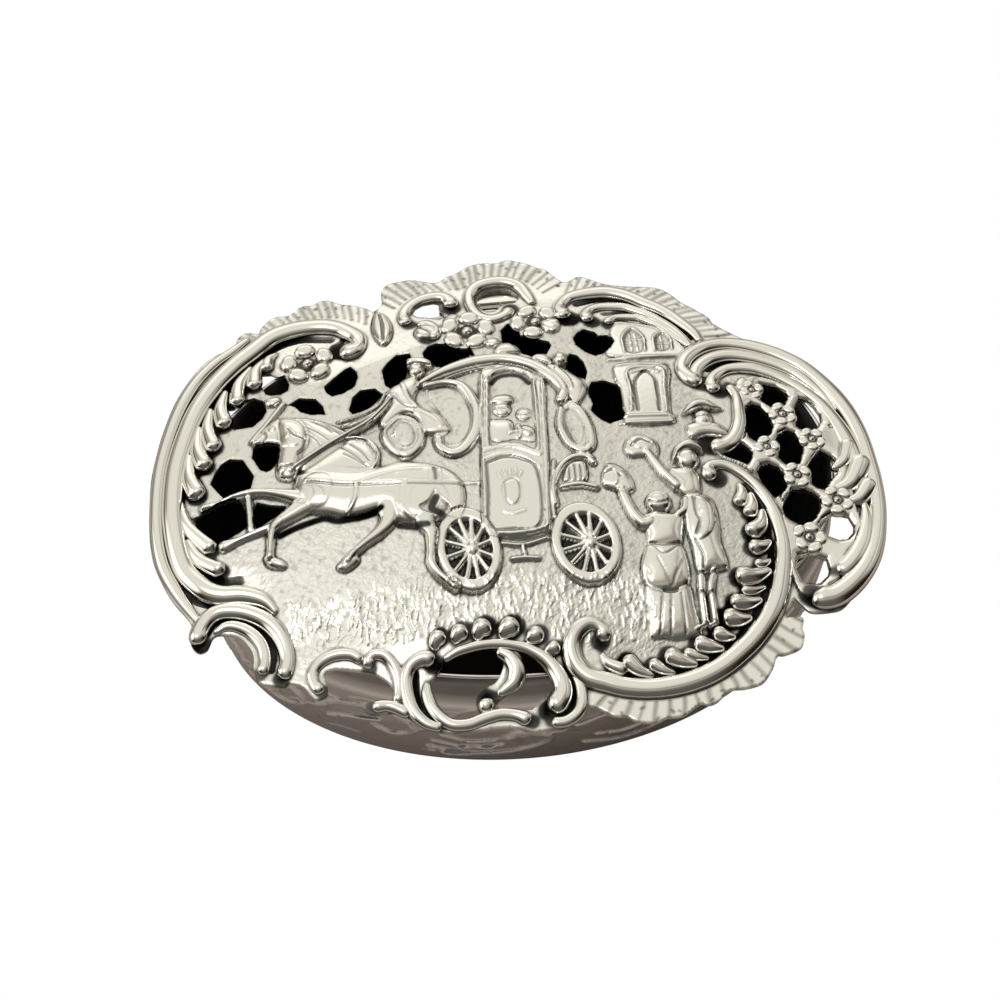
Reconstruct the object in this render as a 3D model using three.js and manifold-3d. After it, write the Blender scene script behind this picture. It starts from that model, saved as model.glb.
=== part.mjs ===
// Lidded oval box of sheet silver: a tapering embossed body with a plain collar, and an
// overhanging pierced and chased lid on a five-knuckle hinge at the back.
// Millimetres, +Z up. Origin: centre of the underside. +X runs along the box, +Y to the hinge.

import * as THREE from 'three';
import { mergeVertices } from 'three/addons/utils/BufferGeometryUtils.js';
import Module from 'manifold-3d';

const wasm = await Module();
wasm.setup();

// Driving dimensions of the box
const mouthHalfLength = 74.5;
const mouthHalfWidth = 52;
const rimHeight = 43;
const collarHeight = 12;
const wallThickness = 0.9;
const baseThickness = 0.9;
const mouthWireRadius = 0.8;
const mouthWireSides = 6;
const ringSteps = 48;

// How far the body stands out of the mouth line, at shares of the height under the collar
const bodyProfile = [[-4, 0], [-2.7, 0.05], [-0.3, 0.38], [0.9, 0.62], [1.1, 0.82]];

// Driving dimensions of the lid
const lidThickness = 1;
const domeHeight = 8;
const flangeFlattening = 3;
const lidSeatGap = 0.3;
const wheelRise = 1.4;
const lowerStep = 0.6;
const upperShrink = 0.72;
const ridgeRise = 0.95;
const reliefSink = 0.5;
const gridCell = 14;
const bossSides = 6;
const sheetHalfLength = 90;
const sheetHalfWidth = 72;
const reliefRoom = 10;

// Driving dimensions of the hinge
const knuckleRadius = 1.5;
const knuckleBore = 0.75;
const pinRadius = 0.68;
const knuckleLength = 4.8;
const knuckleGap = 0.2;
const knuckleCount = 5;
const knuckleSteps = 16;
const leafThickness = 0.9;
const bodyLeafHeight = 5;
const lidLeafDepth = 7;
const solderGap = 0.03;
const runningGap = 0.3;
const axisDrop = 0.95;
const leafOverlap = 3;
const seatDepth = 0.4;

// The lid is drawn for a mouth of this size, a little off its middle, and follows the real one
const drawnHalfLength = 74.5;
const drawnHalfWidth = 52;
const lidShiftX = 1.7;
const lidShiftY = -0.5;
const lengthwise = mouthHalfLength / drawnHalfLength;
const crosswise = mouthHalfWidth / drawnHalfWidth;

// Worked-out levels and places
const collarBottom = rimHeight - collarHeight;
const wireHeight = 2 * mouthWireRadius * Math.cos(Math.PI / mouthWireSides);
const collarTop = rimHeight - wireHeight;
const lidUnderside = rimHeight + lidSeatGap;
const lidTop = lidUnderside + lidThickness;
const hingeY = mouthHalfWidth + leafThickness + solderGap + knuckleRadius;
const hingeZ = collarTop - axisDrop;
const hingeLength = knuckleCount * knuckleLength + (knuckleCount - 1) * knuckleGap;

const silver = { color: 0xd8d4c8, roughness: 0.3, metalness: 1 };
const shadedSilver = { color: 0xa9a196, roughness: 0.38, metalness: 1 };
const tarnishedSilver = { color: 0x8d7f68, roughness: 0.45, metalness: 1 };

// The lid's edge: stretches of [round, points]; a round stretch is a smooth curve
const lidEdge = [
  [true, [[-77.5, -29.5], [-82.9, -19.8], [-85.7, -8.5], [-85.6, 2.5], [-83.7, 16.5], [-79, 31.5], [-73.8, 40.4],
    [-68.3, 45.6], [-64, 47.1]]],
  [false, [[-63.6, 49], [-61.8, 51.4], [-58, 51], [-57.5, 52.5], [-54.9, 55.3], [-50.3, 56.1], [-48, 58],
    [-44.4, 58.7], [-42.8, 59.5], [-39.3, 59], [-36.7, 57.4], [-33, 56.6], [-30.5, 54.4]]],
  [true, [[-28, 56.3], [-27.3, 62.2], [-24.2, 63.6], [-19.1, 63.7], [-14.2, 62.2], [-9.5, 64.6], [-5.6, 66.9]]],
  [true, [[-2.1, 67.7], [1.4, 67.2], [4, 68], [8.3, 66.3], [12.8, 63.8], [14.8, 61.2], [17.1, 58.9]]],
  [false, [[20.4, 60.6], [24.9, 58.5], [29.1, 56.8], [35.4, 55.7], [40.3, 54.6], [44.4, 49.8], [48.9, 45.6],
    [51.1, 42], [54.6, 38.8], [60, 35.2]]],
  [true, [[62.9, 33.2], [69.6, 28.2], [74.1, 23], [79.4, 13], [82, 3.8], [83, -7], [81.9, -16], [79.3, -26.3],
    [73.8, -34.7], [67.8, -41.1], [60.6, -41.5]]],
  [false, [[58.8, -39.6], [57, -37.6], [54.4, -42.6], [58.7, -42.4], [57.9, -45.4], [57.8, -48.4], [55.1, -51.3],
    [51.3, -51.5], [49.7, -54.7], [46.9, -58.2], [43, -59.2], [39.2, -59.4], [36.3, -61.9], [32.4, -62],
    [28.4, -64.6], [22.2, -65.7], [16.4, -63.5], [10.7, -60.9], [7.7, -60.3]]],
  [true, [[3.8, -64.6], [0.4, -65.5], [-4.6, -65.2], [-12.2, -63.4], [-22.2, -63.8], [-28, -61.3], [-33, -57.8]]],
  [true, [[-36, -57.6], [-40.3, -57], [-39.7, -54.3], [-34, -54]]],
  [true, [[-35.1, -49.8], [-38, -47.6], [-44.3, -45.8], [-48, -45.8]]],
  [true, [[-48.4, -48.6], [-49.5, -52.4], [-52.6, -50.7], [-55, -47.8]]],
  [true, [[-58.9, -48.5], [-63.5, -46.2], [-64, -39.1], [-66.6, -35.1], [-72.3, -33.8]]],
  [true, [[-74, -37.2], [-77, -36.8], [-77.5, -33.5]]],
];

// Pierced openings, each a smooth closed curve through its points
const crestHoles = [
  [[-21, 52.3], [-18, 55.5], [-13.9, 55.3], [-12.8, 49.4], [-17.5, 50.2]],
  [[-5, 55.1], [-1.1, 58.9], [5.1, 56.4], [2.1, 53.1], [-1, 50.3], [-4.2, 51.6]],
];
const skyHoles = [
  [[-58.9, 37.8], [-54.2, 36], [-51.5, 32.5], [-53.6, 29.6], [-57.4, 30.7]],
  [[-41.1, 32.3], [-36.8, 35.5], [-35.3, 31.4], [-38.8, 26.7], [-43.2, 27.8]],
  [[-66.9, 28], [-62.5, 29.8], [-58, 28.7], [-58.4, 22.6], [-62.9, 20.7], [-66, 22.5]],
  [[-52.3, 25.7], [-49.5, 27.4], [-45.7, 26.3], [-43.6, 20.8], [-49.4, 22.7]],
  [[-31.6, 26.8], [-29.7, 24.4], [-33.3, 20.6], [-37.3, 19.4], [-37.6, 22.9], [-34.9, 27]],
  [[-25.8, 37.5], [-22, 36.7], [-23.5, 31.7], [-25.7, 26], [-29.2, 27.3], [-29.2, 33]],
  [[-19.6, 37], [-16, 40], [-10.6, 37.3], [-7.2, 33.9], [-14.3, 30.8], [-18.4, 33.7]],
  [[1.4, 44.9], [4.1, 42.9], [6.8, 39.4], [11.1, 35.7], [7.7, 32.8], [3.7, 33.5], [-0.6, 37.7], [-0.5, 42.5]],
  [[16.4, 37.9], [19.4, 41.2], [24.6, 38.6], [26.2, 35.8], [21, 31.1], [16.8, 35.2]],
  [[14.9, 32.5], [17.9, 29.3], [17.6, 23.2], [13.1, 27.2]],
  [[18.8, 22.4], [21.9, 22.9], [25.3, 19.8], [25.5, 11.9], [21.5, 9.2], [17.6, 13.7], [17.6, 18.8]],
  [[-71.4, 6], [-66.5, 12.2], [-62.4, 8.9], [-62, 2.6], [-68.1, 0.6]],
  [[-61, 14], [-55, 13.4], [-55.3, 8.6], [-59.7, 7.3]],
  [[-76.7, -2.4], [-69.8, -0.6], [-64.3, -0.7], [-63.5, -8.5], [-70.4, -11.3]],
  [[-61.9, -3.9], [-60.9, -1.3], [-54.3, -3.9], [-54.8, -6.4], [-61, -9]],
];
const latticeHoles = [
  [[58.7, 20.8], [64.6, 18], [63.4, 14.1], [60.6, 13.2], [58, 17.9]],
  [[55.7, 14.3], [58.9, 11.2], [58.7, 5.4], [54.9, 3], [52.6, 6.7]],
  [[67.4, 16.3], [70.6, 14.3], [71.4, 9.2], [67, 6.3], [65.2, 10]],
  [[62.7, 6.5], [65.1, 3.7], [65.1, -0.7], [62, -3.8], [59.5, -1.6], [59.2, 2.8]],
  [[46.1, 0.3], [50.4, 3.2], [53.3, 0], [51.9, -3.6], [46.3, -0.8]],
  [[69.6, 0.8], [73.4, -2.7], [72.6, -5.6], [69.1, -10.2], [66.1, -8.5], [65.6, -4.3]],
  [[53.6, -5.9], [57, -3.4], [60.3, -8.2], [57, -12.6]],
  [[61.1, -10.5], [65.9, -11.2], [67, -15.2], [63.6, -19.3], [59.5, -18.2], [58.2, -14.7]],
  [[71, -16.5], [74, -19.7], [72.1, -23.3], [66, -21.3], [67, -18.3]],
  [[60, -27.6], [64.7, -27.7], [66.4, -31], [63.7, -34.6], [59.6, -33.4]],
];
const cartoucheHoles = [
  [[-21.9, -46.2], [-16.7, -44.2], [-11.2, -45.2], [-9.3, -48.5], [-12, -53.2], [-15.8, -55.5], [-15.6, -60.2],
    [-20, -61], [-24.4, -58.2], [-26.3, -53.3], [-24.9, -50.4]],
  [[-6, -46], [-1, -48.8], [1.3, -53], [-0.3, -57], [-4.1, -60], [-11.5, -59.6], [-8, -55], [-5, -50]],
];

// Raised scrolls: [half width at the start, in the middle, at the end, points]
const scrolls = [
  [2, 2.9, 2.4, [[-36, 40.8], [-34.6, 45.5], [-40, 50.2], [-50, 50.6], [-60, 45], [-70, 35.7], [-78, 20],
    [-81.4, 2], [-80.6, -10], [-76, -20], [-69, -24.6], [-61.5, -27]]],
  [1.5, 1.8, 1.5, [[-23.6, 51], [-22.6, 55], [-17.5, 58], [-12.6, 57.2], [-11.4, 54.2]]],
  [1.3, 1.7, 1.7, [[0, 49.3], [-5, 50], [-7.2, 54.5], [-3.5, 60], [2, 61], [7.8, 57], [9.8, 51.6]]],
  [1.4, 1.7, 1.5, [[14.6, 49], [17, 53.2], [25.8, 54.5], [32.5, 51.9], [39, 47.3], [44.6, 40.5], [47, 35.5]]],
  [1.1, 1.4, 1.1, [[20.6, 46.6], [26.8, 49.3], [34, 46.4], [40.7, 40], [44.2, 33.6]]],
  [1.6, 1.9, 2.6, [[41, 24], [43.5, 30], [52, 34], [62, 31.8], [73.5, 22], [80, 7], [81, -12], [77, -28.5],
    [70.5, -36], [63.6, -38.6]]],
  [1.2, 1.5, 1.3, [[47.4, 21.5], [52.5, 25.8], [61, 24.9], [69, 19.5], [73.8, 11]]],
  [1.3, 1.5, 1.3, [[51.3, 20], [51.6, 12], [49.3, 4.8], [44.8, 3.2]]],
  [1.5, 2.4, 1.7, [[10.3, -41.9], [6.8, -45], [9.2, -52.6], [16.6, -56.7], [25.8, -57.6], [35, -55.5],
    [43.3, -50.5], [50, -43.8], [54.3, -35.3], [57, -25], [55.6, -15], [51.2, -6.8], [44.5, -4]]],
  [1.2, 1.6, 1.4, [[-27.4, -46], [-31, -50], [-30.6, -56.5], [-26.4, -61.2]]],
  [1.3, 1.7, 1.4, [[-23.6, -46.9], [-18, -43.9], [-10, -43.4], [-2.4, -46.2], [2.4, -52], [1.8, -58.2]]],
  [1.1, 1.3, 1.1, [[5.6, -49], [7, -56], [5, -62.4], [-1.4, -64]]],
  [1.3, 1.7, 1.3, [[-8.2, -45.5], [-7, -50], [-9.4, -54.4], [-13.6, -56.6]]],
  [1.6, 2, 1.7, [[-75.3, -33.5], [-71.4, -28.4], [-64.1, -29.8], [-58.4, -35], [-56.5, -41], [-57.7, -45.6]]],
  [1.1, 1.3, 1.2, [[-51.2, -48.4], [-48, -43], [-42.4, -43], [-38.6, -44.8], [-34.4, -44.6], [-32.7, -50],
    [-33.3, -55]]],
  [1.1, 1.4, 1.3, [[-68.6, -32], [-64, -34.6], [-61.7, -39], [-62.2, -43.2]]],
];

// Drop-shaped gadroons inside the scrolls: [half width, tail, head]
const drops = [
  [1.6, [-56.8, 43.5], [-56.5, 38.8]], [2, [-58.5, 42], [-60.2, 33.6]], [2, [-62.5, 38.5], [-64.2, 31.4]],
  [2.2, [-67.5, 33], [-68.8, 24.5]], [2, [-71.3, 28], [-70, 16]], [2.2, [-74.5, 22], [-72.4, 11.3]],
  [2.3, [-77, 13], [-74.5, 3]], [2, [-79, 0], [-73.4, -11]], [1.9, [-78, -8], [-70.3, -17.6]],
  [1.7, [22.6, -54.8], [17.8, -50.6]], [1.9, [32.4, -53], [27.2, -50]], [1.8, [39.4, -49.8], [34, -47.6]],
  [1.6, [43, -46.6], [38.4, -45.4]], [2, [46.9, -42], [41.3, -42]], [1.7, [50.2, -37.8], [43.4, -38.4]],
  [2, [53, -30.8], [45.5, -32.6]], [1.7, [54.3, -23.6], [49.5, -25.6]], [2, [52.6, -14], [49.9, -21.2]],
  [1.7, [-24.5, -43.8], [-23, -40.5]], [1.8, [-19.5, -42.2], [-17.6, -38.9]], [2, [-14.5, -41.6], [-12, -38.6]],
  [2, [-9, -41.9], [-6.2, -39.4]], [1.9, [-3.6, -43], [-0.4, -41.6]],
];

// Round bosses: scroll ends, petals, heads, hubs and the crossings of the lattice, as [x, y, radius]
const bosses = [
  [-37.6, 40.2, 2.8], [-21.9, 49.6, 2.1], [-11.7, 53.4, 1.9], [2.8, 51, 1.9], [16.2, 46.9, 2.3], [21.5, 44.5, 2],
  [26, 42.8, 1.8], [43.2, 21.4, 2], [47.5, 18.9, 1.8], [43.6, 2.4, 2.1], [43.6, -6.2, 2.1], [62, -37.3, 2.4],
  [12.6, -43.4, 1.6], [-25.4, -47.3, 1.9], [0.3, -60.2, 1.8], [-15.2, -56.9, 1.9], [-75.1, -35.6, 2],
  [-49.3, -50.6, 1.6], [-38.6, -56, 1.4],
  [-47.2, 44, 3], [-42.6, 38.4, 3], [-51.6, 39.2, 2.8], [-48.5, 33.2, 3.2],
  [-12, 43.6, 2.6], [-6.6, 38.6, 2.4], [-4.6, 44.2, 2.8], [-18, 44, 2.8], [6.5, 46.8, 3], [11.6, 42.2, 2.6],
  [-22, 31.6, 2.6], [-20.6, 33.4, 2], [12.4, 30.2, 2], [0.2, 35, 2.4], [7.8, 30.6, 2], [-58, 17.6, 2.4],
  [29.6, -12.8, 2.6], [38.4, -1, 2.9], [43.6, 11, 2.9], [20.6, -6.4, 2.8], [27.4, 2, 2.9], [-2.9, 17.4, 2.2],
  [2.2, 14.6, 2.2], [-13.5, -22.2, 1.8], [13.1, -23.1, 1.8],
  [62.3, 10.6, 2], [57, 1, 1.8], [68, 3.7, 1.8], [62.6, -6.9, 1.8], [71.2, -13.4, 2.2], [62.8, -23.6, 2.4],
];

// Low relief of the chased scene: [rise, points]; each is a smooth closed curve, stepped to a smaller top
const figures = [
  [1.9, [[-52.4, -3.8], [-50.6, 3], [-42.2, 4], [-33, 2.6], [-24, 2.6], [-16.6, -1.2], [-13.8, -7], [-15.5, -13.6],
    [-26, -14], [-32, -9.3], [-41.2, -10.1], [-50.5, -7]]],
  [1.7, [[-50, 3], [-46.6, 6.8], [-39.3, 11], [-34.4, 8], [-33.4, 1.9], [-42, 0]]],
  [1.3, [[-60.6, 16], [-57, 14], [-54.8, 9], [-54, 4], [-49, 8], [-39.4, 14], [-42, 18], [-50, 21.4], [-56, 21.4]]],
  [1.9, [[-29.4, 24.2], [-24.6, 28], [-21.2, 25.4], [-20.8, 17.6], [-15.6, 10.4], [-21.6, 5], [-26.4, 3.6],
    [-31.4, 9], [-31.4, 16]]],
  [0.9, [[-19.8, 25], [-12.4, 25.2], [-9.4, 18], [-9.6, 9.6], [-14.4, 4.6], [-18.8, 7.4], [-17.4, 15.4]]],
  [1.4, [[-7, 27], [0.8, 29.4], [7.4, 24], [6.2, 0], [4.4, -19.4], [-2.6, -20.8], [-9.8, -19.4], [-9.2, 0]]],
  [1.3, [[12.6, 15.8], [16.6, 8.4], [14.8, 1.4], [11, 2.4], [9.6, 9]]],
  [1.4, [[6.4, -10.4], [6.4, -5], [11, -0.8], [15.8, -3], [15.8, -9.4]]],
  [1.6, [[9, 28.4], [13.2, 26.8], [17.2, 20.6], [14.2, 14.8], [11, 21]]],
  [1.6, [[25.8, -23], [33, -23], [34.2, -33], [34.8, -45.2], [29.4, -46], [24.2, -45.2], [23.8, -33]]],
  [1.8, [[25.8, -17.2], [30.6, -15.4], [34.4, -17.2], [32.8, -24], [26.2, -24]]],
  [1.7, [[33.4, -6], [38.8, -5], [42, -13], [43, -30.6], [36, -31.4], [35, -18]]],
  [1.2, [[35.8, -31], [40.6, -31], [39.2, -43.6], [35.2, -43.6]]],
  [0.7, [[25, 8.4], [25, 26], [27, 42.4], [36.4, 40.4], [41.4, 31], [37, 25], [36.2, 8.6]]],
];

// Legs, pole, roof and arms of the scene, drawn as the scrolls are
const bars = [
  [1.4, 1.2, 0.9, [[-49.6, -5.9], [-57, -9.4], [-58.8, -18]]],
  [1.2, 1.1, 0.9, [[-51.5, -2.7], [-61, 0.8], [-72.2, -1]]],
  [1, 1, 1.2, [[-56.8, -9.4], [-62, -10.6], [-68.2, -12]]],
  [1.8, 1.2, 0.9, [[-31.2, -10.4], [-36, -16.8], [-41.6, -21.4]]],
  [1.6, 1.2, 1.1, [[-26, -12], [-22, -19], [-22.8, -25], [-18, -31.2]]],
  [1.2, 1.2, 1.2, [[-50, 6.4], [-40, 12], [-31, 18.2]]],
  [1.5, 1.9, 1.5, [[-20.4, 26], [-11, 31.7], [-0.6, 32.5], [7.4, 27.6], [12.6, 20]]],
  [1.2, 1.3, 1.3, [[22, -8.6], [22.8, -13.4], [27, -18]]],
  [1, 1.1, 1.2, [[28.4, 1], [31.4, -5], [34, -9]]],
  [1.2, 1.2, 1.2, [[34, -17], [36, -15], [36, -12.6]]],
];
const wheels = [[-14.1, -22.2, 7.5, 10.8], [12.6, -23, 8, 10.3]];

// A closed mesh with shared vertices, as a solid that can be cut and joined
function solidOf(geometry) {
  const bare = geometry.clone();
  bare.deleteAttribute('normal');
  bare.deleteAttribute('uv');
  const merged = mergeVertices(bare, 1e-4);
  const vertProperties = new Float32Array(merged.attributes.position.array);
  const triVerts = new Uint32Array(merged.index.array);
  return new wasm.Manifold(new wasm.Mesh({ numProp: 3, vertProperties, triVerts }));
}

function geometryOf(solid) {
  const mesh = solid.getMesh();
  return closedGeometry(Array.from(mesh.vertProperties), Array.from(mesh.triVerts));
}

function closedGeometry(positions, indices) {
  const geometry = new THREE.BufferGeometry();
  geometry.setAttribute('position', new THREE.Float32BufferAttribute(positions, 3));
  geometry.setIndex(indices);
  geometry.computeVertexNormals();
  return geometry;
}

function joinAll(solids) {
  return solids.reduce((sum, next) => sum.add(next));
}

function piece(name, geometry, look) {
  const mesh = new THREE.Mesh(geometry, new THREE.MeshStandardMaterial(look));
  mesh.name = name;
  return mesh;
}

// A closed body made of equal rings of points; a closed run joins its last ring to its first
function skin(rings, closedRun) {
  const sides = rings[0].length;
  const indices = [];
  const runs = closedRun ? rings.length : rings.length - 1;
  for (let r = 0; r < runs; r += 1) {
    const here = r * sides;
    const there = ((r + 1) % rings.length) * sides;
    for (let k = 0; k < sides; k += 1) {
      const next = (k + 1) % sides;
      indices.push(here + k, there + k, there + next, here + k, there + next, here + next);
    }
  }
  if (!closedRun) {
    const last = (rings.length - 1) * sides;
    for (let k = 1; k < sides - 1; k += 1) {
      indices.push(0, k, k + 1, last, last + k + 1, last + k);
    }
  }
  const points = rings.flat();
  if (volumeInside(points, indices) < 0) {
    indices.reverse();
  }
  return closedGeometry(points.flat(), indices);
}

// Six times the volume inside a closed body; it is below nothing where the faces point inwards
function volumeInside(points, indices) {
  let volume = 0;
  for (let k = 0; k < indices.length; k += 3) {
    const [a, b, c] = [points[indices[k]], points[indices[k + 1]], points[indices[k + 2]]];
    volume += a[0] * (b[1] * c[2] - b[2] * c[1]) + a[1] * (b[2] * c[0] - b[0] * c[2]) + a[2] * (b[0] * c[1] - b[1] * c[0]);
  }
  return volume;
}

// Height of the lid's upper surface: a dome over the mouth that flattens into the flange
function lidSurface(x, y) {
  const reach = (x / mouthHalfLength) ** 2 + (y / mouthHalfWidth) ** 2;
  const beyond = Math.max(reach - 1, 0);
  const inside = reach < 1 ? domeHeight * (1 - reach) : 0;
  return lidTop + inside - domeHeight * beyond / (1 + flangeFlattening * beyond);
}

function onLid(x, y, rise) {
  return [x, y, lidSurface(x, y) + rise];
}

// An oval ring around the mouth line; its section is a closed list of [outward offset, z]
function ovalRing(section) {
  const rings = [];
  for (let step = 0; step < ringSteps; step += 1) {
    const turn = -2 * Math.PI * step / ringSteps;
    rings.push(section.map(([offset, z]) => [
      (mouthHalfLength + offset) * Math.cos(turn),
      (mouthHalfWidth + offset) * Math.sin(turn),
      z,
    ]));
  }
  return skin(rings, true);
}

function ovalPoints(centreX, centreY, halfLength, halfWidth, steps) {
  const points = [];
  for (let step = 0; step < steps; step += 1) {
    const turn = 2 * Math.PI * step / steps;
    points.push([centreX + halfLength * Math.cos(turn), centreY + halfWidth * Math.sin(turn)]);
  }
  return points;
}

function prism(points, bottom, top) {
  const outline = new THREE.Shape(points.map(([x, y]) => new THREE.Vector2(x, y)));
  const geometry = new THREE.ExtrudeGeometry(outline, { depth: top - bottom, bevelEnabled: false });
  geometry.translate(0, 0, bottom);
  return geometry;
}

function block(x0, x1, y0, y1, z0, z1) {
  const geometry = new THREE.BoxGeometry(x1 - x0, y1 - y0, z1 - z0);
  geometry.translate((x0 + x1) / 2, (y0 + y1) / 2, (z0 + z1) / 2);
  return geometry;
}

// A round bar along X on the hinge's axis
function hingeBar(radius, x0, x1) {
  const geometry = new THREE.CylinderGeometry(radius, radius, x1 - x0, knuckleSteps);
  geometry.rotateZ(Math.PI / 2);
  geometry.translate((x0 + x1) / 2, hingeY, hingeZ);
  return geometry;
}

// Points drawn on the lid, moved to the real size of the mouth
function placed(points) {
  return points.map(([x, y]) => [(x + lidShiftX) * lengthwise, (y + lidShiftY) * crosswise]);
}

function smoothRun(points, stepsPerPoint, closed) {
  const nodes = points.map(([x, y]) => new THREE.Vector3(x, y, 0));
  const curve = new THREE.CatmullRomCurve3(nodes, closed, 'centripetal');
  const steps = Math.round(stepsPerPoint * (closed ? nodes.length : nodes.length - 1));
  const run = curve.getPoints(steps).map((p) => [p.x, p.y]);
  return closed ? run.slice(0, -1) : run;
}

// A sheet that follows the lid's upper surface, between two distances above it
function lidLayer(below, above) {
  const columns = Math.round(2 * sheetHalfLength / gridCell);
  const rows = Math.round(2 * sheetHalfWidth / gridCell);
  const positions = [];
  const indices = [];
  for (const rise of [below, above]) {
    for (let r = 0; r <= rows; r += 1) {
      for (let c = 0; c <= columns; c += 1) {
        const x = -sheetHalfLength + 2 * sheetHalfLength * c / columns;
        const y = -sheetHalfWidth + 2 * sheetHalfWidth * r / rows;
        positions.push(x, y, lidSurface(x, y) + rise);
      }
    }
  }
  const width = columns + 1;
  const top = width * (rows + 1);
  for (let r = 0; r < rows; r += 1) {
    for (let c = 0; c < columns; c += 1) {
      const a = r * width + c;
      indices.push(a, a + width, a + 1, a + 1, a + width, a + width + 1);
      indices.push(top + a, top + a + 1, top + a + width, top + a + 1, top + a + width + 1, top + a + width);
    }
  }
  const wall = (a, b) => indices.push(a, b, top + b, a, top + b, top + a);
  for (let c = 0; c < columns; c += 1) {
    wall(c, c + 1);
    wall(rows * width + c + 1, rows * width + c);
  }
  for (let r = 0; r < rows; r += 1) {
    wall((r + 1) * width, r * width);
    wall(r * width + columns, (r + 1) * width + columns);
  }
  return solidOf(closedGeometry(positions, indices));
}

const prismBottom = 0;
const prismTop = lidTop + domeHeight + reliefRoom;

function lidOutline() {
  const points = lidEdge.flatMap(([round, stretch]) => (round ? smoothRun(stretch, 2, false) : stretch));
  return solidOf(prism(placed(points), prismBottom, prismTop));
}

function lidHole(points) {
  return solidOf(prism(placed(smoothRun(points, 1.4, true)), prismBottom, prismTop));
}

// A scroll or drop that rises from the sheet; its half width changes along the run
function ridge(points, halfWidths) {
  const path = placed(points);
  const rings = path.map(([x, y], k) => {
    const [x0, y0] = path[Math.max(k - 1, 0)];
    const [x1, y1] = path[Math.min(k + 1, path.length - 1)];
    const length = Math.hypot(x1 - x0, y1 - y0);
    const side = [(y1 - y0) / length, (x0 - x1) / length];
    const w = halfWidths[k];
    const h = w * ridgeRise;
    const section = [[w, -reliefSink], [0.78 * w, 0.68 * h], [0, h], [-0.78 * w, 0.68 * h], [-w, -reliefSink]];
    return section.map(([across, rise]) => onLid(x + across * side[0], y + across * side[1], rise));
  });
  return solidOf(skin(rings, false));
}

function scroll([startWidth, middleWidth, endWidth, points]) {
  const run = smoothRun(points, 1.25, false);
  const widths = run.map((point, k) => {
    const share = k / (run.length - 1);
    const swell = Math.sin(Math.PI * share);
    return (startWidth * (1 - share) + endWidth * share) * (1 - swell) + middleWidth * swell;
  });
  return ridge(run, widths);
}

function drop([halfWidth, tail, head]) {
  const between = (share) => [tail[0] + share * (head[0] - tail[0]), tail[1] + share * (head[1] - tail[1])];
  return ridge([tail, between(0.85), between(1.12)], [0.35 * halfWidth, halfWidth, 0.45 * halfWidth]);
}

function boss([x, y, radius]) {
  const [[centreX, centreY]] = placed([[x, y]]);
  const levels = [[radius, -reliefSink], [0.65 * radius, 0.7 * radius]];
  const ring = ([r, rise]) => ovalPoints(centreX, centreY, r, r, bossSides).map(([px, py]) => onLid(px, py, rise));
  return solidOf(skin(levels.map(ring), false));
}

function wheel([x, y, halfWidth, halfHeight]) {
  const rim = placed(ovalPoints(x, y, halfWidth, halfHeight, 16));
  const inside = placed(ovalPoints(x, y, halfWidth - 2, halfHeight - 2, 16));
  return solidOf(prism(rim, prismBottom, prismTop)).subtract(solidOf(prism(inside, prismBottom, prismTop)));
}

// One form of the chased scene, in two steps that follow the lid's surface
function figure([rise, points]) {
  const middleX = points.reduce((sum, [x]) => sum + x, 0) / points.length;
  const middleY = points.reduce((sum, [, y]) => sum + y, 0) / points.length;
  const smaller = points.map(([x, y]) => [
    middleX + upperShrink * (x - middleX),
    middleY + upperShrink * (y - middleY),
  ]);
  const lower = lidLayer(-reliefSink, lowerStep * rise).intersect(lidHole(points));
  return lower.add(lidLayer(-reliefSink, rise).intersect(lidHole(smaller)));
}

// The lid: one sheet, cut to its edge, pierced, with scrolls and the chased scene raised on it
function lidCover() {
  const holes = joinAll([...crestHoles, ...skyHoles, ...latticeHoles, ...cartoucheHoles].map(lidHole));
  const sheet = lidLayer(-lidThickness, 0).intersect(lidOutline()).subtract(holes);
  const tyres = lidLayer(-reliefSink, wheelRise).intersect(joinAll(wheels.map(wheel)));
  const relief = joinAll([...figures.map(figure), tyres]).subtract(holes);
  const raised = joinAll([...scrolls.map(scroll), ...bars.map(scroll), ...drops.map(drop), ...bosses.map(boss)]);
  return geometryOf(joinAll([sheet, relief, raised]));
}

// The embossed wall of the body with its plain collar, open at both ends
function bodyWall() {
  const outer = [...bodyProfile.map(([offset, share]) => [offset, share * collarBottom]), [0, collarBottom], [0, collarTop]];
  const inner = outer.map(([offset, z]) => [offset - wallThickness, z]).reverse();
  return ovalRing([...outer, ...inner]);
}

// The round wire along the mouth, on the collar's top edge
function mouthWire() {
  const middle = -wallThickness / 2;
  const section = [];
  for (let k = 0; k < mouthWireSides; k += 1) {
    const turn = Math.PI / 2 + 2 * Math.PI * (k - 0.5) / mouthWireSides;
    const across = mouthWireRadius * Math.cos(turn);
    const up = mouthWireRadius * Math.sin(turn);
    section.push([middle + across, collarTop + wireHeight / 2 + up]);
  }
  return ovalRing(section);
}

function baseDisc() {
  const reach = bodyProfile[0][0] - wallThickness - solderGap;
  return prism(ovalPoints(0, 0, mouthHalfLength + reach, mouthHalfWidth + reach, ringSteps), 0, baseThickness);
}

function knuckleSpan(number) {
  const start = -hingeLength / 2 + number * (knuckleLength + knuckleGap);
  return [start, start + knuckleLength];
}

function knuckle(number) {
  const [x0, x1] = knuckleSpan(number);
  const tube = solidOf(hingeBar(knuckleRadius, x0, x1));
  return geometryOf(tube.subtract(solidOf(hingeBar(knuckleBore, x0 - 1, x1 + 1))));
}

// Room for a set of knuckles to turn in, a little larger all round
function turningRoom(numbers) {
  const radius = knuckleRadius + runningGap;
  return joinAll(numbers.map((number) => {
    const [x0, x1] = knuckleSpan(number);
    return solidOf(hingeBar(radius, x0 - knuckleGap, x1 + knuckleGap));
  }));
}

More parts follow.
